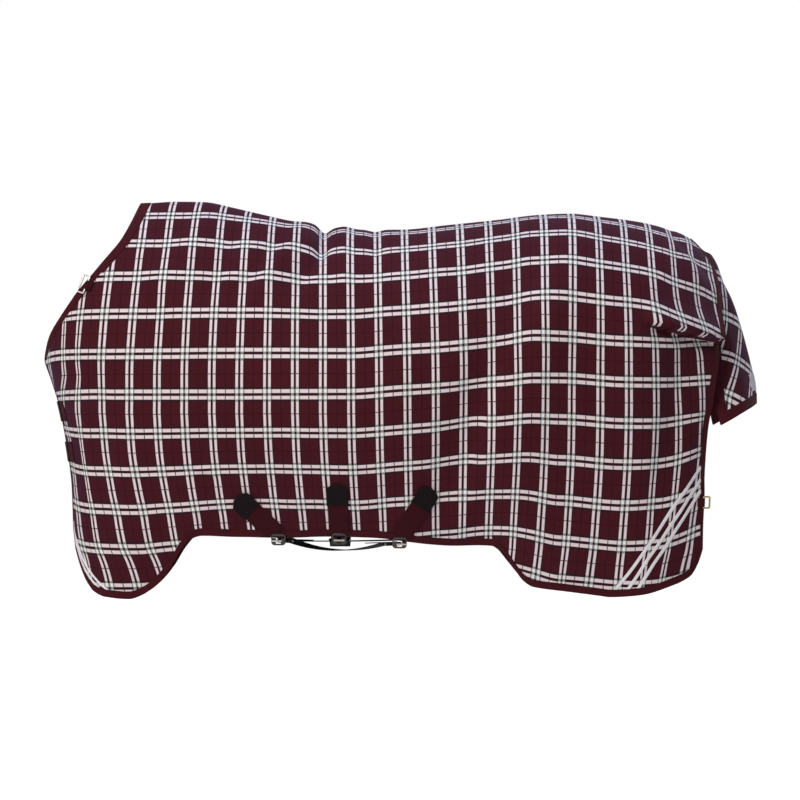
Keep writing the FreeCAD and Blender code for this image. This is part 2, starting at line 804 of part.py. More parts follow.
# centre line of the flap and its side edge, top to foot
FLAP_MIDDLE = [(770, -43), (785, -61), (800, -86), (817, -135), (835, -177), (860, -252),
               (880, -332), (893, -397), (897, -435)]
FLAP_EDGE = [(762, -66, 24), (768, -92, 36), (773, -125, 48), (777, -172, 62), (780, -225, 76),
             (784, -300, 93), (786, -370, 108), (790, -430, 121), (803, -490, 136)]
flap_stations = [i / 8.0 for i in range(9)]
flap_middle_x = profile([(s, p[0]) for s, p in zip(flap_stations, FLAP_MIDDLE)])
flap_middle_z = profile([(s, p[1]) for s, p in zip(flap_stations, FLAP_MIDDLE)])
flap_edge_x = profile([(s, p[0]) for s, p in zip(flap_stations, FLAP_EDGE)])
flap_edge_z = profile([(s, p[1]) for s, p in zip(flap_stations, FLAP_EDGE)])
flap_edge_y = profile([(s, p[2]) for s, p in zip(flap_stations, FLAP_EDGE)])


def flap_point(down, across):
    """across runs from the left edge (-1) over the tail (0) to the right edge (+1)."""
    turn = across * math.pi / 2
    share = math.cos(turn)
    x = flap_edge_x(down) + (flap_middle_x(down) - flap_edge_x(down)) * share
    z = flap_edge_z(down) + (flap_middle_z(down) - flap_edge_z(down)) * share
    return FreeCAD.Vector(x, flap_edge_y(down) * math.sin(turn), z)


def flap_skin(down, across, offset):
    n = normal_of(flap_point, clamp(down, 0.01, 0.99), across, 0.01, 0.01,
                  FreeCAD.Vector(1, across * 2, 0.2))
    return flap_point(down, across) + n * offset


patch("tail_flap", flap_skin, spread(0, 1, 15), spread(-1, 1, 17), "cloth")
flap_wide = 0.13
patch("tail_flap_binding_left", flap_skin, spread(0.04, 1, 15), spread(-1, -1 + flap_wide, 3),
      "over")
patch("tail_flap_binding_right", flap_skin, spread(0.04, 1, 15), spread(1 - flap_wide, 1, 3),
      "over")
patch("tail_flap_binding_foot", flap_skin, spread(0.945, 1, 3),
      spread(-1 + flap_wide * 1.1, 1 - flap_wide * 1.1, 15), "over")
patch("woven_label", flap_skin, spread(0.82, 0.905, 4), spread(-0.30, -0.04, 5), "over")

# ---------------------------------------------------------------- rings and their tabs


def ring(name, long_alias, short_alias, placement):
    """Rounded wire ring; one long side lies on the local X axis."""
    wire = dim("ring_wire")
    body = doc.addObject("PartDesign::Body", name)
    outline = body.newObject("Sketcher::SketchObject", name + "_outline")
    outline.AttachmentSupport = [(origin_plane(body, "XY_Plane"), "")]
    outline.MapMode = "FlatFace"
    long_side, short_side = dim(long_alias), dim(short_alias)
    middle = short_side / 2 - wire / 2
    outer = rounded_rectangle(outline, long_side, short_side, 5.5, 0, middle)
    inner = rounded_rectangle(outline, long_side - 2 * wire, short_side - 2 * wire, 1.5, 0, middle)
    for first in (outer, inner):
        centred(outline, first)
    pad = body.newObject("PartDesign::Pad", name + "_pad")
    pad.Profile = outline
    pad.setExpression("Length", "dims.ring_wire")
    pad.Midplane = True
    doc.recompute()
    rounded = body.newObject("PartDesign::Fillet", name + "_rounding")
    edges = []
    for i, edge in enumerate(pad.Shape.Edges, 1):
        a, b = edge.Vertexes[0].Point, edge.Vertexes[-1].Point
        if abs(a.z - b.z) < 1e-6 and edge.Length > 1e-6:
            edges.append("Edge%d" % i)
    rounded.Base = (pad, edges)
    rounded.Radius = wire / 2 - 0.6
    doc.recompute()
    body.Placement = placement
    return keep(name, thing=body)


def tab(name, placement):
    """Webbing loop that holds the ring's bar, with a channel right through it."""
    block = doc.addObject("Part::Box", name + "_block")
    block.setExpression("Length", "dims.tab_long")
    block.setExpression("Width", "dims.tab_wide")
    block.setExpression("Height", "dims.tab_high")
    bore = doc.addObject("Part::Cylinder", name + "_channel")
    bore.setExpression("Radius", "dims.tab_bore / 2")
    bore.setExpression("Height", "dims.tab_long + 4")
    doc.recompute()
    long_side, wide, tall = dim("tab_long"), dim("tab_wide"), dim("tab_high")
    block.Placement = placement.multiply(FreeCAD.Placement(
        FreeCAD.Vector(-long_side / 2, -wide + 5.2, -tall / 2), FreeCAD.Rotation()))
    bore.Placement = placement.multiply(FreeCAD.Placement(
        FreeCAD.Vector(-long_side / 2 - 2, 0, 0),
        FreeCAD.Rotation(FreeCAD.Vector(0, 0, 1), FreeCAD.Vector(1, 0, 0))))
    loop = doc.addObject("Part::Cut", name)
    loop.Base = block
    loop.Tool = bore
    return keep(name, thing=loop)


ring_axes = {}
over_low, over_high = layer("over")
tab_height = over_high + dim("layer_gap") + dim("tab_high") / 2


def hang_ring(label, skin, at, along_at, outward_hint, sizes, side):
    """Ring and tab on an edge: bar along the edge, ring reaching past it."""
    p = skin(at[0], at[1], tab_height)
    n = p - skin(at[0], at[1], 0)
    bar = skin(along_at[0], along_at[1], tab_height) - p
    hint = FreeCAD.Vector(outward_hint)
    if side == "right":
        p, n, bar, hint = mirrored(p), mirrored(n), mirrored(bar), mirrored(hint)
    n.normalize()
    bar.normalize()
    reach = n.cross(bar)
    if reach.dot(hint) < 0:
        bar = bar * -1
    placement = frame_at(p, bar, n)
    ring(side + "_%s_ring" % label, sizes[0], sizes[1], placement)
    tab(side + "_%s_ring_tab" % label, placement)
    ring_axes[side + "_" + label] = (p, bar)


NECK_RING_V = 0.035
LEG_RING_V = 0.86
neck_inset = front_start(NECK_RING_V) + width_from(
    lambda t: front_point(t, NECK_RING_V), front_start(NECK_RING_V), 0.002, dim("ring_inset"))
leg_inset = 1 - width_from(lambda t: side_point(t, LEG_RING_V), 1.0, -0.0002, dim("ring_inset"))
for side in ("left", "right"):
    hang_ring("neck", front_skin, (neck_inset, NECK_RING_V), (neck_inset, NECK_RING_V + 0.03),
              (-1, 0, 0.6), ("ring_long", "ring_short"), side)
    hang_ring("leg", side_skin, (leg_inset, LEG_RING_V), (leg_inset, LEG_RING_V + 0.02), (1, 0, 0),
              ("leg_ring_long", "leg_ring_short"), side)

# ---------------------------------------------------------------- check and write

doc.recompute()
problems = []
for thing in doc.Objects:
    if "Invalid" in thing.State or "Error" in thing.State:
        problems.append("%s: %s" % (thing.Name, thing.State))
for thing in nodes:
    shape = thing.Shape
    if shape.isNull() or not shape.isValid() or len(shape.Solids) != 1 or shape.Volume <= 0:
        problems.append("%s: valid %s, solids %d, volume %.1f" % (
            thing.Label, shape.isValid(), len(shape.Solids), shape.Volume))
if problems:
    for line in problems:
        print("PROBLEM", line)
    raise SystemExit(1)

for thing in nodes:
    thing.Shape.exportStep("parts/%s.step" % thing.Label)
doc.saveAs("fly_sheet.FCStd")

for place, (point, direction) in swing_axes.items():
    print("swing", place, [round(c, 2) for c in point], [round(c, 5) for c in direction])
for label, (point, direction) in ring_axes.items():
    print("ring", label, [round(c, 2) for c in point], [round(c, 5) for c in direction])
fold_samples = [front_skin(1.0, v, layer("over")[1]) for v in (0.02, 0.25, 0.5, 0.75, 0.98)]
for p in fold_samples:
    print("fold", [round(c, 1) for c in p])
for place, height in (("upper", dim("chest_strap_high")), ("lower", dim("chest_strap_low"))):
    for z in (height - half_web, height + half_web):
        p = chest_skin(-33.5, z, layer("strap")[1] + 1.0)
        print("peel", place, [round(c, 1) for c in p])
print("pieces", len(nodes))
whole = FreeCAD.BoundBox()
for thing in nodes:
    whole.add(thing.Shape.BoundBox)
print("size", [round(v, 1) for v in (whole.XMin, whole.XMax, whole.YMin, whole.YMax,
                                     whole.ZMin, whole.ZMax)])
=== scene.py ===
import math

import bpy
import numpy as np
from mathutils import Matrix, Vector


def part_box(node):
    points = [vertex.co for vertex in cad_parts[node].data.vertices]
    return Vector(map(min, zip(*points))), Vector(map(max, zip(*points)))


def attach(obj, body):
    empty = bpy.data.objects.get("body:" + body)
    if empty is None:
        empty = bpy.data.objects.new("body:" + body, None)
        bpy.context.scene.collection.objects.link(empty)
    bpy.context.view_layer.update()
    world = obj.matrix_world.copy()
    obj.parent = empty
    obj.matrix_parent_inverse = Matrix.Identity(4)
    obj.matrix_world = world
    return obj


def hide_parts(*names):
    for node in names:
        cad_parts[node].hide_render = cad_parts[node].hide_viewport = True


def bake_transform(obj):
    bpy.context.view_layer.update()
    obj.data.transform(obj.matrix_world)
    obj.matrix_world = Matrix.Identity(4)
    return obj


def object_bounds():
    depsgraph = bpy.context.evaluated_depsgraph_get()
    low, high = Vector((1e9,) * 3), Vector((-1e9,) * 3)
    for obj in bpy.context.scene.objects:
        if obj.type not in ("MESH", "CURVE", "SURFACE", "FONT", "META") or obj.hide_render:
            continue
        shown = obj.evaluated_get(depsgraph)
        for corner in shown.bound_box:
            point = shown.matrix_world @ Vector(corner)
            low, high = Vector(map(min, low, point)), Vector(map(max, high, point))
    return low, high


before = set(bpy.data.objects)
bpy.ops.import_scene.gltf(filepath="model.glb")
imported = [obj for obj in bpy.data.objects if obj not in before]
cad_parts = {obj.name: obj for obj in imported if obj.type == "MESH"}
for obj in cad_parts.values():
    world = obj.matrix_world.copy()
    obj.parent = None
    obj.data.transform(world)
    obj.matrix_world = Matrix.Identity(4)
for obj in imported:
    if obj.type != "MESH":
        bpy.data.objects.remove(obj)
cad_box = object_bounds()

MM = 0.001

# ---- camera, floor and light

scene = bpy.context.scene
scene.view_settings.view_transform = "Standard"
scene.view_settings.look = "None"

AIM = Vector((0.0, -0.15, -0.4275))
CAMERA_AWAY = 11.1


def add(name, data):
    """New object in the scene."""
    thing = bpy.data.objects.new(name, data)
    scene.collection.objects.link(thing)
    return thing


camera_data = bpy.data.cameras.new("camera")
camera_data.lens = 200
camera_data.sensor_width = 36
camera_data.clip_end = 100
camera = add("camera", camera_data)
camera.location = AIM + Vector((0, -CAMERA_AWAY, 0))
camera.rotation_euler = (math.pi / 2, 0, 0)
scene.camera = camera


def srgb(r, g, b):
    """Linear colour from 0-255 values."""
    out = []
    for c in (r, g, b):
        c = c / 255
        out.append(c / 12.92 if c <= 0.04045 else ((c + 0.055) / 1.055) ** 2.4)
    return (*out, 1.0)


ROOM_LIGHT = 0.21

world = bpy.data.worlds.new("studio")
scene.world = world
world.use_nodes = True
world_nodes, world_links = world.node_tree.nodes, world.node_tree.links
# the room lights the cloth softly, and is plain white where it is seen
room, seen = world_nodes["Background"], world_nodes.new("ShaderNodeBackground")
for background, strength in ((room, ROOM_LIGHT), (seen, 1.0)):
    background.inputs["Color"].default_value = (1, 1, 1, 1)
    background.inputs["Strength"].default_value = strength
chooser = world_nodes.new("ShaderNodeMixShader")
path = world_nodes.new("ShaderNodeLightPath")
world_links.new(path.outputs["Is Camera Ray"], chooser.inputs[0])
world_links.new(room.outputs[0], chooser.inputs[1])
world_links.new(seen.outputs[0], chooser.inputs[2])
world_links.new(chooser.outputs[0], world_nodes["World Output"].inputs[0])


def softbox(name, place, size, power, colour, aim=(0, 0, -0.45)):
    data = bpy.data.lights.new(name, "AREA")
    data.shape = "RECTANGLE"
    data.size, data.size_y = size
    data.energy = power
    data.color = colour
    lamp = add(name, data)
    lamp.location = place
    lamp.rotation_euler = (Vector(aim) - Vector(place)).to_track_quat("-Z", "Y").to_euler()


softbox("key", (-3.2, -5.4, 4.0), (2.2, 2.2), 330, (1.0, 0.96, 0.92))
softbox("top", (0.2, -0.6, 4.0), (3.5, 2.5), 95, (0.45, 0.64, 1.0), aim=(0, 0, 0))
softbox("rear_fill", (4.5, 3.5, 2.2), (3.0, 2.5), 85, (1.0, 0.98, 0.96))


# ---- form of the rug (millimetres)

SPINE = [(-900, 60), (-655, 66), (-565, 71), (-500, 70), (-425, 56), (-360, 41), (-275, 22),
         (-190, 7), (-95, 0), (0, 0), (125, 12), (250, 25), (350, 37), (430, 40), (500, 33),
         (600, 20), (675, 2), (725, -18), (755, -42), (780, -68), (805, -98)]
HEM = [(-817, -800), (-800, -852), (-785, -885), (-768, -907), (-740, -920), (-680, -925),
       (-645, -914), (-610, -887), (-575, -845), (-548, -800), (-522, -772), (-495, -764),
       (-425, -766), (-300, -768), (-200, -765), (-115, -766), (-40, -770), (20, -778),
       (105, -787), (227, -790), (252, -802), (280, -836), (312, -876), (335, -890),
       (420, -902), (500, -914), (522, -917), (597, -910), (670, -891), (722, -866),
       (742, -836), (755, -800)]
NECK = [(-655, 66), (-676, 15), (-698, -28), (-724, -62), (-765, -110), (-805, -157),
        (-847, -215), (-880, -272), (-895, -327)]
CHEST = [(-930, -811), (-800, -817), (-752, -822), (-647, -826), (-582, -833), (-502, -846),
         (-435, -860), (-377, -878), (-327, -895), (-277, -904), (-155, -912), (100, -915)]
REAR = [(745, -33), (775, -72), (795, -115), (802, -177), (800, -270), (795, -322), (788, -370),
        (779, -432), (768, -500), (762, -582), (757, -707), (755, -800)]
HALF_BREADTH = [(-900, 214), (-620, 209), (-500, 219), (-400, 236), (-250, 260), (-100, 277),
                (60, 288), (220, 289), (400, 280), (550, 273), (600, 265), (650, 244),
                (700, 212), (750, 174), (805, 136)]
CROWN_DEPTH = [(-655, 440), (-300, 420), (0, 400), (300, 350), (450, 310), (600, 300), (800, 280)]
CROWN_SHARPNESS = [(-655, 0.72), (-400, 0.62), (-200, 0.54), (0, 0.5), (400, 0.47), (800, 0.5)]
TUCK_UNDER = [(-700, 0.9), (-450, 1.3), (-150, 1.75), (150, 1.7), (400, 0.85), (800, 0.6)]
CHEST_ROUNDING = 400.0
FOLD_HEIGHT = -110.0


def profile(points):
    """Smooth curve through (a, b) points that never overshoots; level beyond its ends."""
    a = np.array([p[0] for p in points], float)
    b = np.array([p[1] for p in points], float)
    secant = np.diff(b) / np.diff(a)
    product = secant[:-1] * secant[1:]
    total = np.where(product > 0, secant[:-1] + secant[1:], 1.0)
    slope = np.concatenate(([secant[0]], np.where(product > 0, 2 * product / total, 0.0),
                            [secant[-1]]))

    def value(t):
        t = np.clip(np.asarray(t, float), a[0], a[-1])
        i = np.clip(np.searchsorted(a, t) - 1, 0, len(a) - 2)
        h = a[i + 1] - a[i]
        s = (t - a[i]) / h
        return (b[i] * (1 + 2 * s) * (1 - s) ** 2 + slope[i] * h * s * (1 - s) ** 2
                + b[i + 1] * s * s * (3 - 2 * s) + slope[i + 1] * h * s * s * (s - 1))

    return value


spine_height = profile(SPINE)
hem_height = profile(HEM)
chest_front = profile(CHEST)
half_breadth = profile(HALF_BREADTH)
crown_depth = profile(CROWN_DEPTH)
crown_sharpness = profile(CROWN_SHARPNESS)
tuck_under = profile(TUCK_UNDER)
neck_x = profile([(-z, x) for x, z in NECK])
rear_x = profile([(-z, x) for x, z in REAR])


def breadth(x, z):
    """Half the width of the horse-shaped form at side position (x, z)."""
    depth = np.maximum(spine_height(x) - z, 0)
    ahead = np.maximum(x - chest_front(z), 0)
    crown = crown_depth(x)
    over = 1 - np.minimum(depth / crown, 1)
    width = np.where(depth < crown, (1 - over ** 2) ** crown_sharpness(x),
                     1 - tuck_under(x) * (np.maximum(depth - crown, 0) / 1000) ** 1.5)
    near = 1 - np.minimum(ahead / CHEST_ROUNDING, 1)
    return half_breadth(x) * width * np.sqrt(1 - near ** 2)


def depth_share(x, z):
    """How far down from spine to hem, from 0 to 1."""
    return (spine_height(x) - z) / (spine_height(x) - hem_height(x))


def edge_lookup(x, z):
    """x of an edge that runs downwards, for a given depth share."""
    share = depth_share(x, z)
    table = [(share[0], x[0])]
    for s, at in zip(share[1:], x[1:]):
        if s > table[-1][0]:
            table.append((s, at))
    return profile(table)


neck_z = np.linspace(66, -327, 60)
chest_z = np.linspace(-327, -800, 41)[1:]
fore_z = np.concatenate((neck_z, chest_z))
fore_edge = edge_lookup(np.concatenate((neck_x(-neck_z), chest_front(chest_z))), fore_z)
back_z = np.linspace(-33, -800, 81)
back_edge = edge_lookup(rear_x(-back_z), back_z)

ROW_EASE = 0.15
COLUMN_EASE = 0.10


def ease(t, c):
    """Spacing from 0 to 1 that is close near 0, by an amount `c`."""
    return (np.sqrt(t * t + c * c) - c) / (math.sqrt(1 + c * c) - c)


def ease_back(f, c):
    """Undoes `ease`."""
    g = f * (math.sqrt(1 + c * c) - c) + c
    return np.sqrt(np.maximum(g * g - c * c, 0))


def smooth(t):
    t = np.clip(t, 0, 1)
    return t * t * (3 - 2 * t)


def unit(v):
    return v / np.linalg.norm(v, axis=-1, keepdims=True)


def running_total(steps, axis=0):
    """Running total that starts at nought."""
    return np.cumsum(np.insert(steps, 0, 0, axis=axis), axis=axis)


def reach_of(p, axis=0):
    """Distance travelled along rows of points."""
    return running_total(np.linalg.norm(np.diff(p, axis=axis), axis=-1), axis)


# ---- how the cloth hangs


def crease(x, z, start, end, ahead, behind, height):
    """Soft ridge along a line on the flank: `ahead` and `behind` are its widths either side."""
    dx, dz = end[0] - start[0], end[1] - start[1]
    length = math.hypot(dx, dz)
    along = ((x - start[0]) * dx + (z - start[1]) * dz) / length
    across = ((x - start[0]) * dz - (z - start[1]) * dx) / length
    beyond = np.maximum(np.maximum(-along, along - length), 0)
    wide = np.where(across > 0, ahead, behind)
    return height * np.exp(-(across / wide) ** 2 - (beyond / (ahead + behind)) ** 2)


# line start and end (x, height), width on its right-hand and left-hand side, height
CREASES = [
    ((-190, 0), (-196, -50), 17, 15, -17),
    ((-196, -50), (-245, -135), 26, 22, -8),
    ((-140, 5), (-140, -105), 24, 22, 6),
    ((-62, -5), (-60, -60), 20, 18, -6),
    ((-255, -20), (-335, -125), 26, 30, 8),
    ((-318, -45), (-385, -140), 20, 22, -7),
    ((-428, -45), (-468, -140), 24, 24, -7),
    ((-512, -25), (-598, -130), 34, 34, 6),
    ((-640, -80), (-560, -190), 30, 30, 4),
    ((300, -170), (190, -430), 70, 45, -13),
    ((190, -430), (118, -650), 60, 38, -14),
    ((195, -500), (160, -640), 26, 16, -8),
    ((350, -250), (300, -640), 75, 90, 12),
    ((560, -300), (600, -760), 70, 80, 5),
    ((-20, -420), (-90, -720), 60, 70, 4),
    ((-340, -330), (-420, -700), 70, 80, 3),
    ((-532, -590), (-470, -608), 9, 9, 4),
    ((-528, -604), (-474, -624), 10, 9, -3),
    ((684, -12), (706, -44), 12, 10, -4),
    ((730, -60), (768, -110), 14, 14, -5),
    ((716, -70), (742, -120), 20, 20, 4),
    ((664, -60), (640, -140), 26, 26, 3),
    ((700, -330), (640, -640), 32, 30, -7),
    ((745, -420), (700, -700), 26, 30, 5),
    ((-700, -420), (-660, -760), 40, 36, 4),
    ((-760, -380), (-735, -700), 26, 26, -3),
    ((-600, -700), (-560, -830), 30, 30, -4),
]
# ripples of the hanging cloth: height, length along, length down, share of the side's phase
RIPPLES = [(2.2, 118, 260, 1.0), (1.6, 61, -140, 2.1), (1.1, 33, 90, 0.7), (0.5, 17, -61, 1.3)]
RIPPLE_START = 120
HEM_RIPPLE_REACH = 150

# the rump dart: its line, where cloth starts to be taken up, and how much of the run it takes
DART = ((604, -240), (735, -270), (792, -282))
DART_START = 612.0
DART_TAKE_UP = 0.50
# the fold over it: how far it stands out, how far up it reaches, how soon it is full, and how
# far the cloth tucks in below it
FOLD_OUT, FOLD_UP, FOLD_LIP = 27, 52, 9
TUCK_SHARE, TUCK_DOWN = 0.5, 26

# quiet places round the metal fittings and chest straps, where the cloth lies on the form
FITTINGS = [(-303, -779, 75), (-151, -777, 75), (-1, -787, 75), (-784, -140, 60), (757, -683, 45)]


def dart_height(x):
    return np.interp(x, [p[0] for p in DART], [p[1] for p in DART])


def overhang(x, z):
    """Cloth above the rump dart bellies out and folds down over the seam."""
    above = z - dart_height(x)
    run = smooth((x - 590) / 60) * (1 - 0.35 * smooth((x - 740) / 60))
    shape = np.where(above > 0,
                     np.exp(-(above / FOLD_UP) ** 2) * smooth(above / FOLD_LIP + 0.25),
                     -TUCK_SHARE * np.exp(-(above / TUCK_DOWN) ** 2))
    return FOLD_OUT * run * shape


def drape(x, z, phase):
    """Outward displacement of the cloth from the form, in millimetres."""
    out = overhang(x, z)
    for start, end, ahead, behind, height in CREASES:
        out = out + crease(x, z, start, end, ahead, behind, height)
    depth = spine_height(x) - z
    out = out + smooth(depth / RIPPLE_START) * sum(
        height * np.sin(x / long + z / deep + share * phase)
        for height, long, deep, share in RIPPLES)
    hem_near = np.exp(-((z - hem_height(x)) / HEM_RIPPLE_REACH) ** 2)
    out = out + hem_near * (3.0 * np.sin(x / 47 + phase) + 1.6 * np.sin(x / 23 + 2 * phase))
    for fx, fz, reach in FITTINGS:
        out = out * (1 - np.exp(-(((x - fx) ** 2 + (z - fz) ** 2) / reach ** 2) ** 1.5))
    out = out * smooth((x - chest_front(z)) / 90)
    return out * smooth((x + 905) / 60)


# ---- thread lines of the plaid

ACROSS_REPEAT = 70.0
DOWN_REPEAT = 103.0
# height of the row that runs level along the flank, which the rows are counted from
LEVEL_LINE = profile([(-900, -414), (-125, -413), (0, -404), (120, -396.5), (260, -380),
                      (330, -371), (400, -372), (540, -382), (670, -384), (760, -378)])
# column number at this side position, which the columns are counted from
COUNT_FROM_X = -193.0
COUNT_FROM = 9.0
# ahead of the chest zone the columns are measured round the chest, row by row
CHEST_ZONE = -700.0
# depth that the sections are measured to, past the longest part of the hem
SECTION_FOOT = -965.0
SECTION_STEPS = np.linspace(0, 1.0, 240)

section_x = np.linspace(CHEST_ZONE, 812, 379)
section_f = ease(SECTION_STEPS, ROW_EASE)
section_z = (spine_height(section_x)[:, None]
             + section_f[None, :] * (SECTION_FOOT - spine_height(section_x))[:, None])
section_y = breadth(section_x[:, None], section_z)
down = running_total(np.hypot(np.diff(section_y, axis=1), np.diff(section_z, axis=1)), 1)
level = np.array([np.interp(-LEVEL_LINE(x), -z, d)
                  for x, z, d in zip(section_x, section_z, down)])
rows_down = (down - level[:, None]) / DOWN_REPEAT

row_values = np.linspace(-7.5, 6.5, 281)
row_z = np.array([np.interp(row_values, r, z) for r, z in zip(rows_down, section_z)])
row_y = np.array([np.interp(row_values, r, y) for r, y in zip(rows_down, section_y)])
pace = np.sqrt(np.diff(section_x)[:, None] ** 2 + np.diff(row_y, axis=0) ** 2
               + np.diff(row_z, axis=0) ** 2)
travel = running_total(pace)
origin = np.array([np.interp(COUNT_FROM_X, section_x, travel[:, k])
                   for k in range(len(row_values))])
columns_along = COUNT_FROM + (travel - origin[None, :]) / ACROSS_REPEAT

chest_q = np.linspace(1, 0, 60)
chest_row_z = row_z[0]
chest_row_x = (chest_front(chest_row_z)[None, :]
               + (CHEST_ZONE - chest_front(chest_row_z))[None, :] * chest_q[:, None] ** 2)
chest_row_y = breadth(chest_row_x, chest_row_z[None, :])
chest_pace = np.hypot(np.diff(chest_row_x, axis=0), np.diff(chest_row_y, axis=0))
chest_along = columns_along[0][None, :] - running_total(chest_pace) / ACROSS_REPEAT


def table_value(table, a, b, a_values, b_values):
    """Bilinear value of a table at (a, b); both axes run evenly."""
    i = (a - a_values[0]) / (a_values[1] - a_values[0])
    j = (b - b_values[0]) / (b_values[1] - b_values[0])
    i = np.clip(i, 0, len(a_values) - 1.001)
    j = np.clip(j, 0, len(b_values) - 1.001)
    i0, j0 = i.astype(int), j.astype(int)
    s, t = i - i0, j - j0
    return ((table[i0, j0] * (1 - s) + table[i0 + 1, j0] * s) * (1 - t)
            + (table[i0, j0 + 1] * (1 - s) + table[i0 + 1, j0 + 1] * s) * t)


# how far the threads stray from that count, in millimetres of cloth: pulled back over the
# shoulder and round the chest, forward over the quarters
STRAY = profile([(-847, -16), (-806, -14), (-744, -8), (-677, 0), (-607, 2), (-402, 3), (160, 3),
                 (229, 2), (295, -4), (363, -6), (428, -10), (500, -8), (755, -8)])
# how far they lean over the back, down the flank and towards the hem, and where each holds
LEAN_HIGH = profile([(-800, 66), (-744, 42), (-607, 30), (-470, 19), (-333, 7), (-263, 0),
                     (-123, -5), (89, -9), (229, -5), (363, 2), (428, 6), (500, -1), (573, -6),
                     (640, -10), (698, -20)])
LEAN_LOW = profile([(-744, 51), (-607, 41), (-470, 33), (-333, 25), (-193, 17), (-52, 9),
                    (89, 0), (229, -6), (363, -6), (500, -9), (573, -10), (640, -18),
                    (698, -36)])
LEAN_FOOT = profile([(-800, 30), (-744, 22), (-607, 23), (-400, 22), (-263, 17), (-123, 11),
                     (20, 5), (160, 0), (295, -5), (363, -3), (428, -5), (500, -3), (573, -2),
                     (640, -14), (698, -12), (755, 4)])
FOOT_SHARE = profile([(-930, 2.4), (-890, 1.85), (-840, 1.0), (-790, 0.2), (-740, 0)])
HIGH_SHARE = profile([(-457, 0), (-357, 0.08), (-257, 0.29), (-152, 0.59), (-77, 0.84),
                      (-27, 1), (80, 1.2)])
LOW_SHARE = profile([(-930, 1.0), (-840, 1.2), (-740, 1), (-652, 0.55), (-552, 0.15),
                     (-457, 0)])
# threads crowd towards the front opening
CROWDING = profile([(200, 38), (357, 34), (420, 12), (457, 8), (552, 26), (657, 22), (840, 20)])
CROWD_REACH = profile([(257, 110), (357, 100), (457, 50), (552, 48), (760, 60)])
# rows droop beside the neck opening and rise beside the front opening below it
EDGE_RISE = profile([(100, 0), (200, -12), (340, -12), (430, -3), (510, 10), (600, 17), (790, 15)])
EDGE_RISE_REACH = 22
# and they rise towards the rear edge, below the dart
REAR_RISE = profile([(380, 0), (450, 8), (480, 16), (560, 28), (700, 34), (860, 28)])
# slack taken up down the cloth, above and below the level line
SLACK_HIGH = profile([(-900, 31), (-642, 31), (-365, 21), (-17, 36), (262, 26), (397, 22),
                      (537, 44), (672, 92)])
SLACK_LOW = profile([(-642, 18), (-365, 34), (-17, 23), (262, 23), (330, 12), (397, 1),
                     (537, 0), (672, 8)])
SLACK_HIGH_SHARE = profile([(-6, 1.3), (-4.7, 1), (-3.8, 0.64), (-2.9, 0.28), (-1.9, 0.12),
                            (0, 0)])
SLACK_LOW_SHARE = profile([(0, 0), (1, 0.25), (1.9, 0.6), (2.8, 1), (3.8, 1.15), (4.8, 1.3)])


def fabric_of(x, z):
    """Thread position of the cloth at side position (x, z), in repeats across and down."""
    shape = np.broadcast(x, z).shape
    x = np.broadcast_to(x, shape).ravel()
    z = np.broadcast_to(z, shape).ravel()
    xs = np.clip(x, CHEST_ZONE, section_x[-1])
    f = (spine_height(xs) - z) / (spine_height(xs) - SECTION_FOOT)
    v = ease_back(np.clip(f, 0, 1), ROW_EASE)
    down_at = table_value(rows_down, xs, v, section_x, SECTION_STEPS)
    along_at = table_value(columns_along, xs, down_at, section_x, row_values)
    q = np.sqrt(np.clip((x - chest_front(z)) / (CHEST_ZONE - chest_front(z)), 0, 1))
    chest_at = table_value(chest_along, 1 - q, down_at, 1 - chest_q, row_values)
    along_at = np.where(x < CHEST_ZONE, chest_at, along_at)
    lean = (STRAY(x) + LEAN_HIGH(x) * HIGH_SHARE(z) + LEAN_LOW(x) * LOW_SHARE(z)
            + LEAN_FOOT(x) * FOOT_SHARE(z))
    crowded = (x - chest_front(z)) / CROWD_REACH(-z)
    lean = lean + CROWDING(-z) * (1 - smooth((crowded - 0.4) / 0.6))
    along_at = along_at - lean / ACROSS_REPEAT
    slack = (SLACK_HIGH(x) * SLACK_HIGH_SHARE(down_at) - SLACK_LOW(x) * SLACK_LOW_SHARE(down_at))
    down_at = down_at - slack / DOWN_REPEAT
    past = x - DART_START
    take_up = DART_TAKE_UP * (past + np.hypot(past, 30)) / 2 / DOWN_REPEAT
    # sudden at the dart's seam, and spread over a wide band ahead of it
    blend = 6 + 70 * (1 - smooth((x - 560) / 70))
    down_at = down_at - take_up * smooth((z - dart_height(x)) / blend + 0.5)
    front = np.where(z > -327, neck_x(-z), chest_front(z))
    down_at = down_at + EDGE_RISE(-z) * np.exp(
        -np.maximum(x - front, 0) / EDGE_RISE_REACH) / DOWN_REPEAT
    down_at = down_at + REAR_RISE(-z) * smooth((x - 640) / 140) / DOWN_REPEAT
    return along_at.reshape(shape), down_at.reshape(shape)


# ---- cloth surface of each half

# the cloth's outer face over the form, its thickness, and half the gap between the fronts
CLOTH_TOP = 3.4
CLOTH_THICK = 1.8
CENTRE_GAP = 2.5
OPENING_TOP = -300
COLUMNS, ROWS = 300, 160


def normals_of(p, way):
    """Unit normals of a grid of points, turned so that the middle one faces `way`."""
    n = np.cross(np.gradient(p, axis=1), np.gradient(p, axis=0))
    n = n / np.maximum(np.linalg.norm(n, axis=2, keepdims=True), 1e-9)
    return n if n[n.shape[0] // 2, n.shape[1] // 2] @ way > 0 else -n


def side_normals(p):
    """Normals of the left half; on the spine they stay in the plane between the halves."""
    n = normals_of(p, (0, -1, 0))
    n[:, 0, 1] = 0
    n[:, 0] = unit(n[:, 0])
    return n


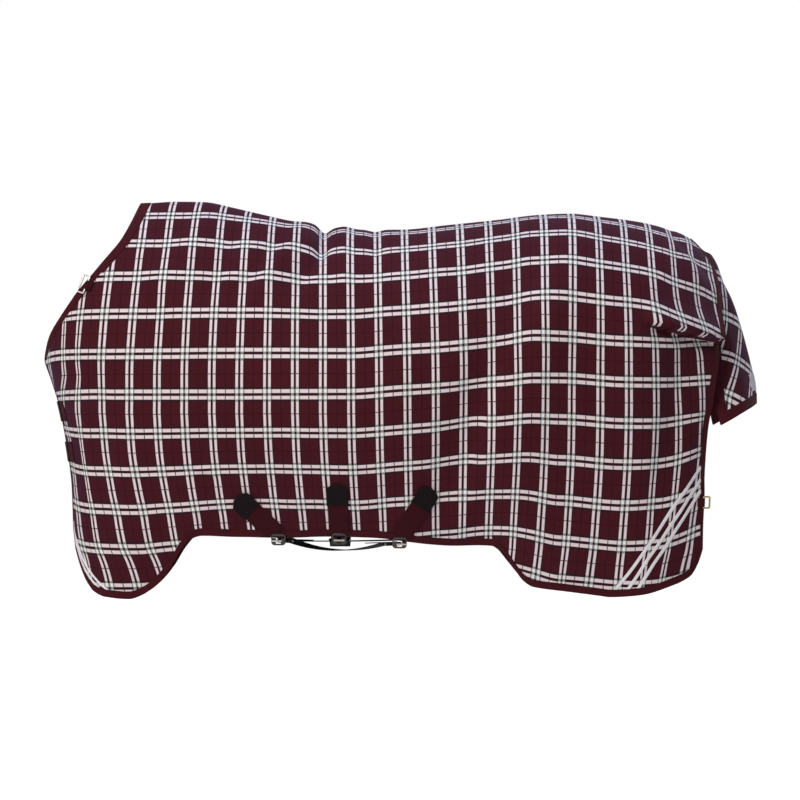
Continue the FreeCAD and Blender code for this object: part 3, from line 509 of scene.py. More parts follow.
def half_grid(phase):
    """Left half: outer cloth surface, its normals and side positions, all in millimetres."""
    u = np.linspace(0, 1, COLUMNS + 1)[:, None]
    v = np.linspace(0, 1, ROWS + 1)[None, :]
    f = ease(v, ROW_EASE)
    w = ease(u, COLUMN_EASE)
    left, right = fore_edge(f), back_edge(f)
    x = left + (right - left) * w
    z = spine_height(x) + f * (hem_height(x) - spine_height(x))
    y = -breadth(x, z)
    y = np.where(z < OPENING_TOP, np.minimum(y, -CENTRE_GAP), y)
    base = np.stack(np.broadcast_arrays(x, y, z), axis=2)
    p = base + side_normals(base) * (CLOTH_TOP + drape(x, z, phase))[..., None]
    p[:, 0, 1] = 0
    return {"p": p, "n": side_normals(p), "x": x, "z": z}


halves = {"left": half_grid(0.4), "right": half_grid(2.3)}


def on_cloth(half, x, z):
    """Points and normals of the cloth's outer surface at side positions."""
    f = depth_share(x, z)
    v = ease_back(np.clip(f, 0, 1), ROW_EASE) * ROWS
    left, right = fore_edge(f), back_edge(f)
    u = ease_back(np.clip((x - left) / (right - left), 0, 1), COLUMN_EASE) * COLUMNS
    i = np.clip(u.astype(int), 0, COLUMNS - 1)
    j = np.clip(v.astype(int), 0, ROWS - 1)
    s, t = (u - i)[..., None], (v - j)[..., None]
    out = []
    for grid in (half["p"], half["n"]):
        out.append((grid[i, j] * (1 - s) + grid[i + 1, j] * s) * (1 - t)
                   + (grid[i, j + 1] * (1 - s) + grid[i + 1, j + 1] * s) * t)
    return out[0], unit(out[1])


# ---- mesh building


def piece(name, vertices, faces, material, fabric):
    mesh = bpy.data.meshes.new(name)
    mesh.from_pydata([tuple(p) for p in np.asarray(vertices) * MM], [], faces)
    mesh.validate()
    mesh.update()
    mesh.polygons.foreach_set("use_smooth", [True] * len(mesh.polygons))
    attribute = mesh.attributes.new("fabric", "FLOAT_VECTOR", "POINT")
    attribute.data.foreach_set("vector", np.asarray(fabric, np.float32).ravel())
    mesh.materials.append(material)
    return add(name, mesh)


def dress(thing, side, body, nodes):
    """Ride and replace in one go; the left front's pieces are baked in place, the right front's
    ride the sheet.
    """
    if body == "fold" and side == "left":
        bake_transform(thing)
    else:
        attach(thing, "sheet" if body == "fold" else body)
    if nodes:
        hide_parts(*nodes)
    return thing


def lengthwise(grid):
    """Distance along and across a strip, in millimetres, for its weave."""
    across = reach_of(grid, 1)
    return np.broadcast_to(reach_of(grid.mean(axis=1))[:, None], across.shape), across


def panel(name, outer, inner, material, side, body, nodes, fabric=None):
    """Closed thin piece between two matching grids of points, mirrored for the right."""
    rows, columns = outer.shape[:2]
    mirror = (1, -1 if side == "right" else 1, 1)
    a, b = outer.reshape(-1, 3) * mirror, inner.reshape(-1, 3) * mirror
    count = rows * columns
    index = np.arange(count).reshape(rows, columns)
    quads = np.stack((index[:-1, :-1], index[1:, :-1], index[1:, 1:], index[:-1, 1:]),
                     axis=-1).reshape(-1, 4)
    rim = np.concatenate((index[:, 0], index[-1, 1:], index[-2::-1, -1], index[0, -2:0:-1]))
    after = np.roll(rim, -1)
    walls = np.stack((after, rim, rim + count, after + count), axis=-1)
    faces = np.concatenate((quads, quads[:, ::-1] + count, walls))
    middle = quads[len(quads) // 2]
    corner = a[middle]
    face_normal = np.cross(corner[1] - corner[0], corner[3] - corner[0])
    if face_normal @ (corner[0] - b[middle[0]]) < 0:
        faces = faces[:, ::-1]
    u, v = (c.ravel() for c in fabric or lengthwise(outer))
    flat = np.stack((u, v, np.zeros(count)), axis=1)
    return dress(piece(name, np.concatenate((a, b)), faces.tolist(), material,
                       np.concatenate((flat, flat))), side, body, nodes)


# ---- materials


class Shader:
    """A node material, built up with short calls."""

    def __init__(self, name):
        self.material = bpy.data.materials.new(name)
        self.material.use_nodes = True
        self.tree = self.material.node_tree
        self.bsdf = self.tree.nodes["Principled BSDF"]

    def put(self, value, socket):
        if isinstance(value, bpy.types.NodeSocket):
            self.tree.links.new(value, socket)
        else:
            socket.default_value = value

    def node(self, kind, inputs=(), **settings):
        node = self.tree.nodes.new(kind)
        for key, value in settings.items():
            setattr(node, key, value)
        for key, value in dict(inputs).items():
            self.put(value, node.inputs[key])
        return node

    def math(self, operation, a, b=0.0, c=0.0, clamp=False):
        node = self.node("ShaderNodeMath", {0: a, 1: b, 2: c}, operation=operation)
        node.use_clamp = clamp
        return node.outputs[0]

    def times(self, a, b):
        return self.math("MULTIPLY", a, b)

    def most(self, a, b):
        return self.math("MAXIMUM", a, b)

    def mix(self, share, a, b):
        node = self.node("ShaderNodeMix", data_type="RGBA")
        self.put(share, node.inputs[0])
        self.put(a, node.inputs[6])
        self.put(b, node.inputs[7])
        return node.outputs[2]

    def noise(self, scale, detail, vector=None):
        if vector is None:
            vector = self.node("ShaderNodeTexCoord").outputs["Object"]
        return self.node("ShaderNodeTexNoise", {"Vector": vector, "Scale": scale,
                                                "Detail": detail, "Roughness": 0.55}).outputs["Fac"]

    def fabric(self):
        """The piece's own two fabric coordinates."""
        stored = self.node("ShaderNodeAttribute", attribute_name="fabric").outputs["Vector"]
        return self.node("ShaderNodeSeparateXYZ", {0: stored}).outputs[:2]

    def bump(self, height, strength, distance, under=None):
        node = self.node("ShaderNodeBump", {"Height": height, "Strength": strength,
                                            "Distance": distance})
        if under is not None:
            self.tree.links.new(under, node.inputs["Normal"])
        return node.outputs[0]

    def finish(self, colour, roughness, normal=None, **plain):
        self.put(colour, self.bsdf.inputs["Base Color"])
        self.put(roughness, self.bsdf.inputs["Roughness"])
        if normal is not None:
            self.tree.links.new(normal, self.bsdf.inputs["Normal"])
        for key, value in plain.items():
            self.bsdf.inputs[key.replace("_", " ")].default_value = value
        return self.material


def weave_normal(shader, across, down, pitch, strength):
    """Plain weave: crossing ribs a little over a millimetre apart."""
    a = shader.math("SINE", shader.times(across, 2 * math.pi / pitch))
    b = shader.math("SINE", shader.times(down, 2 * math.pi / pitch))
    threads = shader.times(a, b)
    soft = shader.bump(shader.noise(22.0, 5.0), 0.35, 0.004)
    return shader.bump(threads, strength, 0.0003, soft), threads


# each pair of white stripes: repeat, gap between the two, width of one, dark outline (mm)
COLUMN_STRIPES = (ACROSS_REPEAT, 5.9, 6.6, 3.6)
ROW_STRIPES = (DOWN_REPEAT, 7.4, 9.2, 6.0)
CHECK_HALF = 1.2
EDGE_BLUR = 0.9


def tartan():
    """Plaid drawn from the cloth's thread position, in repeats across and down."""
    s = Shader("plaid_cloth")
    across, down = s.fabric()

    def within(distance, half):
        return s.math("MULTIPLY_ADD", distance, -1 / EDGE_BLUR, half / EDGE_BLUR + 0.5, clamp=True)

    def band(distance, centre, half):
        return within(s.math("ABSOLUTE", s.math("SUBTRACT", distance, centre)), half)

    def lines(coordinate, repeat, gap, white, outline):
        distance = s.times(s.math("PINGPONG", coordinate, 0.5), repeat)
        edge = gap / 2 + white
        stripe = band(distance, (gap / 2 + edge) / 2, white / 2)
        dark = s.times(within(distance, edge + outline), s.math("SUBTRACT", 1.0, stripe))
        return stripe, dark, band(distance, repeat / 2, CHECK_HALF)

    white_v, dark_v, check_v = lines(across, *COLUMN_STRIPES)
    white_h, dark_h, check_h = lines(down, *ROW_STRIPES)
    patchy = s.noise(3.2, 4.0)
    streaks = s.node("ShaderNodeCombineXYZ", {0: s.times(across, 26.0),
                                              1: s.times(down, 3.0)}).outputs[0]
    warp = s.noise(1.0, 2.0, streaks)
    tone = s.math("MULTIPLY_ADD", patchy, 0.5, s.times(warp, 0.5))
    ground = s.mix(tone, srgb(50, 12, 21), srgb(87, 20, 28))
    black = s.mix(tone, srgb(34, 18, 22), srgb(58, 26, 31))
    white = s.mix(tone, srgb(226, 200, 201), srgb(246, 232, 230))
    grey = s.mix(tone, srgb(132, 126, 122), srgb(172, 166, 160))
    colour = ground
    for share, paint in ((s.most(check_v, check_h), srgb(58, 10, 16)),
                         (s.most(dark_v, dark_h), black),
                         (s.times(dark_v, dark_h), srgb(18, 14, 16)),
                         (s.most(white_v, white_h), white),
                         (s.most(s.times(white_v, dark_h), s.times(white_h, dark_v)), grey),
                         (s.times(white_v, white_h), srgb(244, 243, 238)),
                         (s.most(s.times(white_v, check_h), s.times(white_h, check_v)),
                          srgb(112, 58, 66))):
        colour = s.mix(share, colour, paint)
    normal, threads = weave_normal(s, s.times(across, ACROSS_REPEAT), s.times(down, DOWN_REPEAT),
                                   1.3, 0.35)
    rough = s.math("MULTIPLY_ADD", threads, 0.05, 0.78)
    return s.finish(colour, rough, normal, Sheen_Weight=0.12, Sheen_Roughness=0.5,
                    Sheen_Tint=srgb(150, 170, 240), Specular_IOR_Level=0.12)


def woven(name, dark, light, pitch, rough=0.78, strength=0.5):
    """Tape or webbing: fine ribs that follow the strip's own length and width."""
    s = Shader(name)
    along, across = s.fabric()
    normal, threads = weave_normal(s, across, along, pitch, strength)
    tone = s.math("MULTIPLY_ADD", threads, 0.12, s.noise(16.0, 4.0))
    return s.finish(s.mix(tone, dark, light), rough, normal, Sheen_Weight=0.04,
                    Sheen_Roughness=0.5, Specular_IOR_Level=0.12)


def metal(name, dark, light, rough):
    """Worn bright metal with fine scratches."""
    s = Shader(name)
    wear = s.noise(140.0, 6.0)
    scratch = s.bump(s.noise(520.0, 3.0), 0.12, 0.0002)
    roughness = s.math("MULTIPLY_ADD", wear, 0.22, rough)
    return s.finish(s.mix(wear, dark, light), roughness, scratch, Metallic=1.0)


def floor_paint():
    """Pale floor that is plain white where it is seen straight from the camera."""
    s = Shader("floor")
    mottle = s.noise(2.0, 2.0)
    seen_straight = s.node("ShaderNodeLightPath").outputs["Is Camera Ray"]
    s.put(s.times(seen_straight, 0.9), s.bsdf.inputs["Emission Strength"])
    return s.finish(s.mix(mottle, (0.93, 0.93, 0.93, 1), (0.95, 0.95, 0.95, 1)), 0.9,
                    Emission_Color=(1, 1, 1, 1))


CLOTH = tartan()
BINDING = woven("binding", srgb(56, 12, 20), srgb(80, 18, 28), 1.2)
WHITE_TAPE = woven("white_tape", srgb(238, 229, 229), srgb(255, 251, 250), 1.2)
BLACK_PATCH = woven("black_patch", srgb(14, 8, 10), srgb(30, 17, 20), 1.8)
BLACK_WEBBING = woven("black_webbing", srgb(9, 7, 9), srgb(22, 18, 20), 2.4, 0.75, 0.8)
BURGUNDY_WEBBING = woven("burgundy_webbing", srgb(46, 7, 14), srgb(70, 12, 22), 2.4, 0.78, 0.8)
THREAD = woven("thread", srgb(44, 14, 19), srgb(76, 25, 32), 0.8)
LABEL = woven("label", srgb(190, 184, 186), srgb(222, 216, 216), 0.9)
STEEL = metal("steel", (0.55, 0.50, 0.44, 1), (0.85, 0.80, 0.74, 1), 0.28)
DARK_STEEL = metal("dark_steel", (0.05, 0.042, 0.038, 1), (0.14, 0.12, 0.11, 1), 0.36)
BRASS = metal("brass_wire", (0.55, 0.36, 0.14, 1), (0.86, 0.66, 0.34, 1), 0.24)
PALE_WIRE = metal("pale_wire", (0.62, 0.55, 0.52, 1), (0.90, 0.84, 0.80, 1), 0.24)

floor_mesh = bpy.data.meshes.new("floor")
# the rug hangs as on a horse, so the floor lies well below it
FLOOR_Z = cad_box[0][2] - 0.55
FLOOR_HALF = 14
floor_mesh.from_pydata([(x * FLOOR_HALF, y * FLOOR_HALF, FLOOR_Z)
                        for x, y in ((-1, -1), (1, -1), (1, 1), (-1, 1))], [], [(0, 1, 2, 3)])
floor_mesh.materials.append(floor_paint())
floor = add("floor", floor_mesh)

# ---- cloth of both halves

for side, half in halves.items():
    outer = half["p"]
    inner = outer - half["n"] * CLOTH_THICK
    inner[:, 0, 1] = 0
    panel(side + "_cloth", outer, inner, CLOTH, side, "fold",
                        [side + "_side_panel", side + "_front_panel"],
                        fabric_of(half["x"], half["z"]))

# ---- bindings round the edges

# folded tape seen end on: (inset from the edge, height over the cloth), outer then inner face
FOLDED_OUTER = [(28, 0.5), (27.4, 1.1), (26, 1.3), (20, 1.5), (14, 1.5), (7, 1.5), (2, 1.5),
                (-0.6, 1.2), (-1.9, 0.2), (-2.2, -0.9), (-1.9, -2.0), (-0.6, -3.0), (2, -3.3),
                (7, -3.2), (14, -3.2), (20, -3.1), (26, -3.1), (28, -2.7)]
FOLDED_INNER = [(28, 0.1), (27.4, 0.1), (26, 0.1), (20, 0.12), (14, 0.12), (7, 0.12), (2, 0.12),
                (0.3, 0.1), (-0.5, -0.3), (-0.7, -0.9), (-0.5, -1.5), (0.3, -1.9), (2, -1.92),
                (7, -1.92), (14, -1.92), (20, -1.92), (26, -1.9), (28, -1.9)]
# its seam: where the stitches run, on the tape and just under it
FOLDED_SEAM = [(24.5, 1.35), (24.5, 0.3)]
EDGE_DEPTH = 26


def edge_lines(side, edge, low, high):
    """Points and normals of the grid lines that leave an edge inwards, between two shares."""
    grids = (halves[side]["p"], halves[side]["n"])
    if edge == "hem":
        return [g[:, :-EDGE_DEPTH:-1] for g in grids]
    inwards = slice(2 * EDGE_DEPTH) if edge == "fore" else slice(None, -EDGE_DEPTH, -1)
    between = slice(int(low * ROWS), int(high * ROWS) + 1)
    return [g[inwards, between].swapaxes(0, 1) for g in grids]


def point_at(distance, reach, points):
    """Position at a distance along a line of points."""
    return np.array([np.interp(distance, reach, points[:, c]) for c in range(3)])


def fold_over(lines, section, wide, lift):
    """Points of a section carried along an edge; `wide` scales its part on the cloth."""
    points, normals = lines
    out = np.zeros((len(points), len(section), 3))
    for k, (p, n) in enumerate(zip(points, normals)):
        reach = reach_of(p)
        tangent = unit(p[2] - p[0])
        for m, (inset, height) in enumerate(section):
            inset = inset * wide if inset > 2 else inset
            if inset > 0:
                at, up = point_at(inset, reach, p), point_at(inset, reach, n)
            else:
                at, up = p[0] + tangent * inset, n[0]
            out[k, m] = at + up * (height + (lift if height > 0 else -lift))
    return out


# a stitch is a short rod of flat sides: share of its length and of its thickness at each ring
STITCH_SIDES = 5
STITCH_RINGS = [(0.0, 0.35), (0.2, 1.0), (0.8, 1.0), (1.0, 0.35)]


def stitches(name, line, normals, material, side, body, spacing=5.0, long=3.4, thick=0.9):
    """Row of short raised stitches along a line of points."""
    reach = reach_of(line)
    vertices, faces, fabric = [], [], []
    for k in range(int(reach[-1] / spacing)):
        middle = (k + 0.5) * spacing
        a, b = (point_at(middle + d, reach, line) for d in (-long / 2, long / 2))
        up = point_at(middle, reach, normals)
        across = np.cross(b - a, up)
        across /= max(np.linalg.norm(across), 1e-9)
        first = len(vertices)
        for share, swell in STITCH_RINGS:
            at = a + (b - a) * share
            sink = -0.25 * thick if swell < 1 else 0.15 * thick
            for turn in range(STITCH_SIDES):
                angle = 2 * math.pi * turn / STITCH_SIDES
                vertices.append(at + across * math.cos(angle) * thick / 2 * swell
                                + up * (math.sin(angle) * thick / 2 * swell + sink))
                fabric.append((middle + share, turn, 0))
        rings = [[first + ring * STITCH_SIDES + turn for turn in range(STITCH_SIDES)]
                 for ring in range(len(STITCH_RINGS))]
        for low, high in zip(rings, rings[1:]):
            for turn in range(STITCH_SIDES):
                after = (turn + 1) % STITCH_SIDES
                faces.append((low[turn], low[after], high[after], high[turn]))
        faces += [tuple(rings[0][::-1]), tuple(rings[-1])]
    vertices = np.array(vertices)
    if side == "right":
        vertices[:, 1] *= -1
        faces = [f[::-1] for f in faces]
    dress(piece(name, vertices, faces, material, fabric), side, body, [])


def bound_edge(name, lines, side, body, nodes, wide, lift=0.0):
    """Binding folded over the edge that the lines start from, with its stitches."""
    outer, inner, seam = (fold_over(lines, section, wide, lift)
                          for section in (FOLDED_OUTER, FOLDED_INNER, FOLDED_SEAM))
    thing = panel(name, outer, inner, BINDING, side, body, nodes)
    stitches(name + "_stitches", seam[:, 0], seam[:, 0] - seam[:, 1], THREAD, side, body)
    return thing


fold_row = float(ease_back(depth_share(-765.0, FOLD_HEIGHT), ROW_EASE))
# name, edge and its two shares, CAD pieces, body, share of the section's width, extra lift
EDGES = [("neck", "fore", 0.0, fold_row, ["neck_binding"], "fold", 0.93, 0.0),
         ("front", "fore", fold_row, 1.0, ["front_edge_binding"], "fold", 0.66, 0.0),
         ("rear", "rear", 0.0, 1.0, ["rear_binding"], "sheet", 0.64, 0.0),
         ("hem", "hem", 0.0, 1.0, ["hem_binding", "front_hem_binding"], "fold", 0.64, 0.25)]
trims = {"left": [], "right": []}
for side in trims:
    for name, edge, low, high, nodes, body, wide, lift in EDGES:
        trims[side].append(bound_edge(
            "%s_%s_edge" % (side, name), edge_lines(side, edge, low, high), side, body,
            ["%s_%s" % (side, node) for node in nodes], wide, lift))

# ---- strips sewn on the cloth

# strap seen end on: position across (-1 to 1) and share of the thickness
STRAP_ACROSS = np.array([-1, -0.985, -0.93, -0.6, -0.3, 0, 0.3, 0.6, 0.93, 0.985, 1])
STRAP_SWELL = np.array([0.25, 0.75, 1, 1, 1, 1, 1, 1, 1, 0.75, 0.25])
# its two rows of stitches (places in the lists above) and its middle
STRAP_SEAMS = {"a": 2, "b": 8}
STRAP_MIDDLE = 5


def smooth_path(points, count):
    """Even samples on a smooth curve through side positions."""
    pts = np.array(points, float)
    reach = reach_of(pts)
    t = np.linspace(0, reach[-1], count)
    return np.stack([profile(list(zip(reach, pts[:, c])))(t) for c in (0, 1)], axis=1)


def strap_seams(name, outer, n, material, side, body):
    """A row of stitches just inside each long edge of a strap."""
    for label, k in STRAP_SEAMS.items():
        seam = outer[1:-1, k] * 0.93 + outer[1:-1, STRAP_MIDDLE] * 0.07
        stitches(name + "_stitches_" + label, seam, n[1:-1, k], material, side, body,
                 4.2, 2.8, 0.7)


def sewn_strip(name, side, path, width, low, thick, material, body, nodes, count=40,
               rounded_head=False, stitched=True):
    """Tape or webbing that lies on the cloth along side positions."""
    centre = smooth_path(path, count)
    heading = unit(np.gradient(centre, axis=0))
    sideways = np.stack((-heading[:, 1], heading[:, 0]), axis=1)
    at = centre[:, None] + sideways[:, None] * (STRAP_ACROSS * width / 2)[None, :, None]
    if rounded_head:
        bulge = np.sqrt(np.maximum(1 - STRAP_ACROSS ** 2, 0)) * width * 0.32
        fade = np.linspace(1, 0, count) ** 2
        at = at - heading[:, None] * (bulge[None, :] * fade[:, None])[..., None]
    p, n = on_cloth(halves[side], at[..., 0], at[..., 1])
    outer = p + n * (low + thick * STRAP_SWELL)[None, :, None]
    thing = panel(name, outer, p + n * low, material, side, body, nodes)
    if stitched:
        strap_seams(name, outer, n, material, side, body)
    return thing


REAR_TAPES = [[(751, -594), (706, -653), (676, -695), (650, -736), (625, -774), (600, -811),
               (570, -855), (536, -900)],
              [(751, -624), (722, -664), (692, -707), (665, -748), (640, -786), (614, -822),
               (590, -862), (566, -900)],
              [(750, -652), (733, -677), (706, -716), (680, -757), (656, -796), (630, -832),
               (608, -868), (589, -900)]]
# the front tapes slant back from the front opening, one below the other
FRONT_TAPE_STARTS = (-724, -743, -762)
FRONT_TAPE_SLOPE = 2.2
REAR_TAPE_WIDE = 7.8
FRONT_TAPE_WIDE = 5.0
# height of a tape's underside over the cloth, thickness, material
TAPE = (0.35, 0.9, WHITE_TAPE)


def front_slant(start):
    """Side positions of a line that leaves the front opening at height `start`."""
    path = []
    for out in range(4, 140, 6):
        z = start - FRONT_TAPE_SLOPE * out
        ahead = np.linspace(0, 150, 301)
        wide = breadth(chest_front(z) + ahead, np.full(301, z))
        x = float(chest_front(z) + np.interp(out, wide, ahead))
        if z > hem_height(x) + 8:
            path.append((x, z))
    return path


for side in trims:
    front_body = "left_front" if side == "left" else "sheet"
    for k, start in enumerate(FRONT_TAPE_STARTS):
        for end, path, width, body in (("rear", REAR_TAPES[k], REAR_TAPE_WIDE, "sheet"),
                                       ("front", front_slant(start), FRONT_TAPE_WIDE, front_body)):
            trims[side].append(sewn_strip(
                "%s_%s_tape_%d" % (side, end, k + 1), side, path, width, *TAPE, body,
                ["%s_%s_corner_tapes" % (side, end)] if k == 0 else [], stitched=False))
    trims[side].append(sewn_strip(
        side + "_dart_seam", side, [(618, -245), (680, -258), (735, -271), (785, -281)], 3.4, 0.1,
        0.9, BINDING, "sheet", [side + "_rump_dart"], stitched=False))

# surcingles: head of the sewn patch, and the foot of the strap on the hem
SURCINGLES = {"front": ((-400, -672), (-303, -764)), "middle": ((-156, -640), (-151, -763)),
              "rear": ((75, -655), (-1, -768))}
WEB = 50.8


def on_line(start, end, distance):
    share = distance / math.dist(start, end)
    return (start[0] + (end[0] - start[0]) * share, start[1] + (end[1] - start[1]) * share)


for place, (head, foot) in SURCINGLES.items():
    for side in trims:
        # on the left it stops short of the hem's slotted plate
        end = on_line(head, foot, math.dist(head, foot) + (-4 if side == "left" else 1))
        trims[side].append(sewn_strip(
            "%s_%s_surcingle" % (side, place), side, [on_line(head, foot, 8), end], WEB, 1.9, 2.0,
            BURGUNDY_WEBBING, "sheet", ["%s_%s_strap" % (side, place)], 30))
        ends = [on_line(head, foot, 10), on_line(head, foot, 46)]
        trims[side].append(sewn_strip(
            "%s_%s_sewn_patch" % (side, place), side, ends, WEB + 4, 4.0, 1.2, BLACK_PATCH,
            "sheet", ["left_%s_patch" % place] if side == "left" else [], 24,
            rounded_head=True))

# ---- belly straps

HOOKS = {"front": (-303.3, -163.8, -779.4), "middle": (-151.5, -173.0, -777.2),
         "rear": (-1.05, -173.8, -787.0)}
FAR_END = {"front": "rear", "middle": "middle", "rear": "front"}
SAG = {"front": 1.5, "middle": 20.5, "rear": 24.5}
# along the strap from its hook's plate to the crossbar, and the crossbar's radius
HOOK_REACH = 24.0
CROSSBAR = 2.4
WRAP = CROSSBAR + 1.2
UP = np.array((0, 0, 1.0))


def ribbon(name, line, sideways, across, thick, material, body, node):
    """Strap that follows a line of points, `thick` to either side of it."""
    line = np.array(line)
    face = np.cross(unit(np.gradient(line, axis=0)), sideways)
    flat = line[:, None] + sideways * across[None, :, None]
    over = face[:, None] * (thick + 0 * across)[None, :, None]
    panel(name, flat + over, flat - over, material, "left", body, [node])


def round_bar(centre, along, up, turns, radii):
    """Points on an arc, by angles in degrees from `along` towards `up`."""
    angles = [math.radians(turn) for turn in turns]
    return [centre + along * math.cos(a) * radii[0] + up * math.sin(a) * radii[1] for a in angles]


for place, at in HOOKS.items():
    near = np.array(at)
    far = np.array(HOOKS[FAR_END[place]]) * (1, -1, 1)
    chord = unit(far - near)
    level_way = unit(np.array((chord[1], -chord[0], 0.0)))
    bar = near + chord * HOOK_REACH
    start = bar + chord * (CROSSBAR + 26)
    end = far - chord * 4
    # from the far end to the hook, round the crossbar, and back along the strap to its stitching
    line = [end + (start - end) * share - UP * SAG[place] * 4 * share * (1 - share)
            for share in np.linspace(0, 1, 40)]
    line.append(bar + chord * (CROSSBAR + 8) - UP * (0.4 * WRAP))
    line += round_bar(bar, chord, UP, np.linspace(-90, -270, 9), (WRAP, WRAP))
    line.append(bar + chord * (CROSSBAR + 8) + UP * (WRAP * 0.9))
    line += [start + chord * (50 * share) + UP * (2.6 - 0.14 * SAG[place] * share)
             for share in (0.0, 0.4, 0.8, 1.0)]
    ribbon(place + "_belly_webbing", line, level_way, STRAP_ACROSS * WEB / 2, 1.1 * STRAP_SWELL,
           BLACK_WEBBING, place + "_belly_strap", "belly_strap_" + place)

# ---- chest straps


def chest_points(y, z, height):
    """Points over the chest at sideways positions; the cloth lies close to the form there."""
    low = chest_front(z) + 0 * y
    high = low + 390
    for _ in range(40):
        mid = (low + high) / 2
        short = breadth(mid, z) < np.abs(y)
        low = np.where(short, mid, low)
        high = np.where(short, high, mid)
    p = np.stack((high, y, z), axis=-1)
    n = unit(np.cross(np.gradient(p, axis=0), np.gradient(p, axis=1)))
    n = np.where(n[..., :1] > 0, -n, n)
    return p + n * height[..., None], n


def chest_strap(name, y_low, y_high, z_middle, low, thick, material, body, node):
    """Webbing that lies across the chest between two sideways positions."""
    y, across = np.meshgrid(np.linspace(y_low, y_high, 60), STRAP_ACROSS, indexing="ij")
    z = z_middle + across * WEB / 2
    outer, n = chest_points(y, z, low + thick * np.broadcast_to(STRAP_SWELL, y.shape))
    inner, _ = chest_points(y, z, low + 0 * y)
    panel(name, outer, inner, material, "left", body, [node])
    strap_seams(name, outer, n, material, "left", body)


for place, height in (("upper", -455.0), ("lower", -557.0)):
    chest_strap("chest_base_" + place, -58, -36, height, CLOTH_TOP + 0.4, 2.0, BURGUNDY_WEBBING,
                "left_front", "chest_strap_base_" + place)
    chest_strap("chest_fastening_" + place, 70, 136, height, CLOTH_TOP + 0.3, 1.2, BLACK_PATCH,
                "sheet", "chest_pad_" + place)
    chest_strap("chest_tongue_" + place, -35, 128, height, CLOTH_TOP + 2.4, 2.0,
                BURGUNDY_WEBBING, place + "_chest_strap", "chest_strap_" + place)

# ---- back seam

# grid columns and rows that the tape lies under; the spine's own row is shared by both halves
SEAM_COLUMNS = slice(4, COLUMNS - 2)
SEAM_ROWS = [6, 4, 2, 1, 0]


def under_cloth(side, rows):
    """Left-hand points just under the cloth beside the spine."""
    p, n = (halves[side][k][SEAM_COLUMNS][:, rows] for k in "pn")
    return p - n * (CLOTH_THICK + 0.3)


tape_top = np.concatenate((under_cloth("left", SEAM_ROWS),
                           under_cloth("right", SEAM_ROWS[-2::-1]) * (1, -1, 1)), axis=1)
panel("back_seam_tape", tape_top, tape_top - (0, 0, 1.1), BINDING, "left", "sheet",
      ["spine_seam_tape"])
for side, half in halves.items():
    line = half["p"][3:-3, 1] * 0.45 + half["p"][3:-3, 2] * 0.55
    stitches(side + "_back_seam_stitches", line, half["n"][3:-3, 1], THREAD, side, "sheet",
             5.0, 3.2, 0.8)

# ---- tail flap

# down the flap in even steps: its middle (x, z), and its edge (x, z, half width)
FLAP_MIDDLE = [(770, -43), (785, -61), (800, -86), (817, -135), (835, -177), (860, -252),
               (880, -332), (893, -397), (897, -435)]
FLAP_EDGE = [(762, -66, 24), (768, -92, 36), (773, -125, 48), (777, -172, 62), (780, -225, 76),
             (784, -300, 93), (786, -370, 108), (790, -430, 121), (803, -490, 136)]
flap_mid_x, flap_mid_z, flap_edge_x, flap_edge_z, flap_edge_y = (
    profile([(i / 8, p[c]) for i, p in enumerate(points)])
    for points, c in ((FLAP_MIDDLE, 0), (FLAP_MIDDLE, 1), (FLAP_EDGE, 0), (FLAP_EDGE, 1),
                      (FLAP_EDGE, 2)))

DOWN_COUNT, ROUND_COUNT = 110, 100
OUTWARDS = (1, 0, 0)
flap_down = np.linspace(0, 1, DOWN_COUNT + 1)[:, None]
flap_turn = np.linspace(-1, 1, ROUND_COUNT + 1)[None, :]
share = np.cos(flap_turn * math.pi / 2)
fx = flap_edge_x(flap_down) + (flap_mid_x(flap_down) - flap_edge_x(flap_down)) * share
fz = flap_edge_z(flap_down) + (flap_mid_z(flap_down) - flap_edge_z(flap_down)) * share
fy = flap_edge_y(flap_down) * np.sin(flap_turn * math.pi / 2)
flap_base = np.stack(np.broadcast_arrays(fx, fy, fz), axis=2)
ripple = smooth(flap_down * 1.6) * (2.2 * np.sin(flap_turn * 7 + flap_down * 3)
                                    + 1.4 * np.sin(flap_turn * 12 - flap_down * 5)
                                    + 0.9 * np.sin(flap_turn * 3 + flap_down * 17))
tucked = -9.0 * (1 - smooth(flap_down * 7)) + 0 * ripple
flap_p = flap_base + normals_of(flap_base, OUTWARDS) * (CLOTH_TOP + tucked + ripple)[..., None]
flap_n = normals_of(flap_p, OUTWARDS)
MIDDLE = slice(ROUND_COUNT // 2, ROUND_COUNT // 2 + 1)
round_way = reach_of(flap_p, 1)
round_way -= round_way[:, MIDDLE]
down_way = reach_of(flap_p)[:, MIDDLE] + 0 * round_way
# the flap is cut on the bias, with its plaid shifted to match the photo
BIAS = math.radians(38)
flap_fabric = ((round_way * math.cos(BIAS) + down_way * math.sin(BIAS)) / ACROSS_REPEAT + 0.35,
               (down_way * math.cos(BIAS) - round_way * math.sin(BIAS)) / DOWN_REPEAT + 0.2)
flap = panel("tail_flap_cloth", flap_p, flap_p - flap_n * CLOTH_THICK, CLOTH, "left", "flap",
             ["tail_flap"], flap_fabric)


# the grid lines that leave each edge of the flap inwards
grids = (flap_p, flap_n)
FLAP_LINES = {"left": [g[2:, :40] for g in grids],
              "right": [g[2:, :-41:-1] for g in grids],
              "foot": [g[:-30:-1].swapaxes(0, 1) for g in grids]}
flap_trims = [bound_edge("flap_%s_edge" % edge, lines, "left", "flap",
                         ["tail_flap_binding_" + edge], 0.9, 0.25 if edge == "foot" else 0.0)
              for edge, lines in FLAP_LINES.items()]
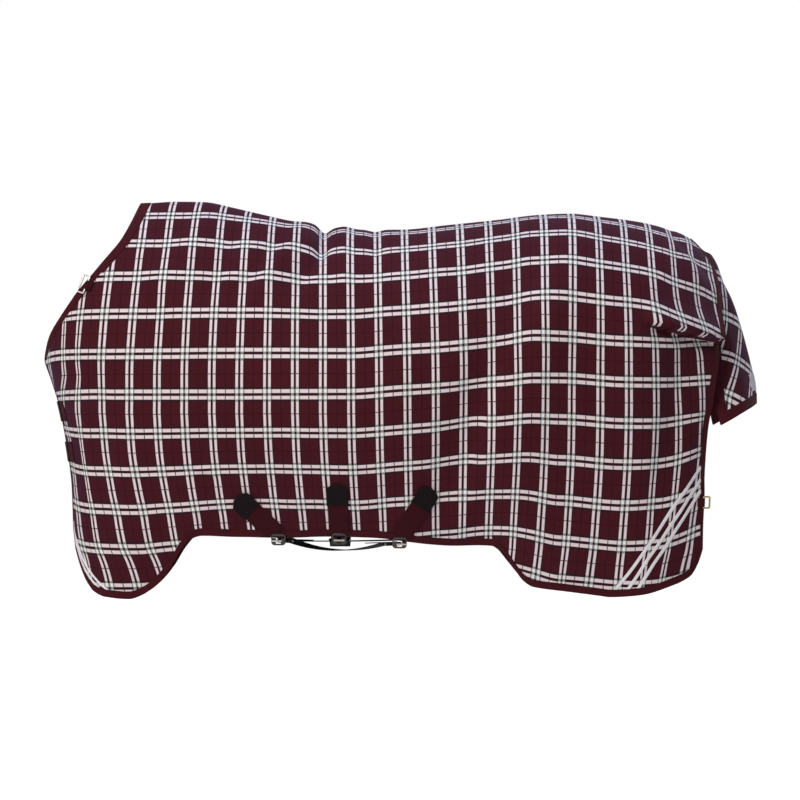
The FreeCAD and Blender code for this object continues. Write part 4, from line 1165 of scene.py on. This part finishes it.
# where the label lies, in shares of the way down and round the flap
patch = (slice(int(0.80 * DOWN_COUNT), int(0.90 * DOWN_COUNT)),
         slice(int(0.35 * ROUND_COUNT), int(0.48 * ROUND_COUNT)))
label = panel("blank_label", flap_p[patch] + flap_n[patch] * 1.0,
              flap_p[patch] + flap_n[patch] * 0.2, LABEL, "left", "flap", ["woven_label"])

# ---- ring tabs

# on the left: middle of the bar that the tab goes round, and the bar's direction
RING_BARS = {"neck": ((-784.03, -131.14, -139.54), (0.37333, 0.10746, 0.92145)),
             "leg": ((757.32, -156.87, -683.46), (-0.03166, 0.0813, -0.99619))}
# the tab seen end on: (away from the bar, outwards), either side of its turn round the bar
TAB_BEFORE = [(-15, -3.5), (-8, -3.4), (-3, -3.2)]
TAB_AFTER = [(-3, 3.1), (-8, 1.4), (-12, -0.6), (-15, -1.9)]
for place, (left_at, left_bar) in RING_BARS.items():
    for side in ("left", "right"):
        name = "%s_%s" % (side, place)
        low, high = (np.array(c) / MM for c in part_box(name + "_ring"))
        out = -1 if side == "left" else 1
        centre = np.array(left_at) * (1, -out, 1)
        bar = np.array(left_bar) * (-out, 1, -out)
        way = (low + high) / 2 - centre
        way = unit(way - bar * way.dot(bar))
        up = np.cross(bar, way)
        if up[1] * out < 0:
            up = -up
        line = ([centre + way * a + up * b for a, b in TAB_BEFORE]
                + round_bar(centre, way, up, np.linspace(-90, 90, 9), (3.4, 3.3))
                + [centre + way * a + up * b for a, b in TAB_AFTER])
        ribbon(name + "_loop", line, bar, np.linspace(-1, 1, 7) * 11, 0.6, BURGUNDY_WEBBING,
               "left_front" if name == "left_neck" else "sheet", name + "_ring_tab")

# ---- metal fittings kept from the CAD

METALS = {"slotted_plate": DARK_STEEL, "t_hook": STEEL, "neck_ring": PALE_WIRE,
          "leg_ring": BRASS}
for node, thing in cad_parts.items():
    for part, material in METALS.items():
        if node.startswith(part) or node.endswith(part):
            if not thing.material_slots:
                thing.data.materials.append(material)
            for slot in thing.material_slots:
                slot.material = material
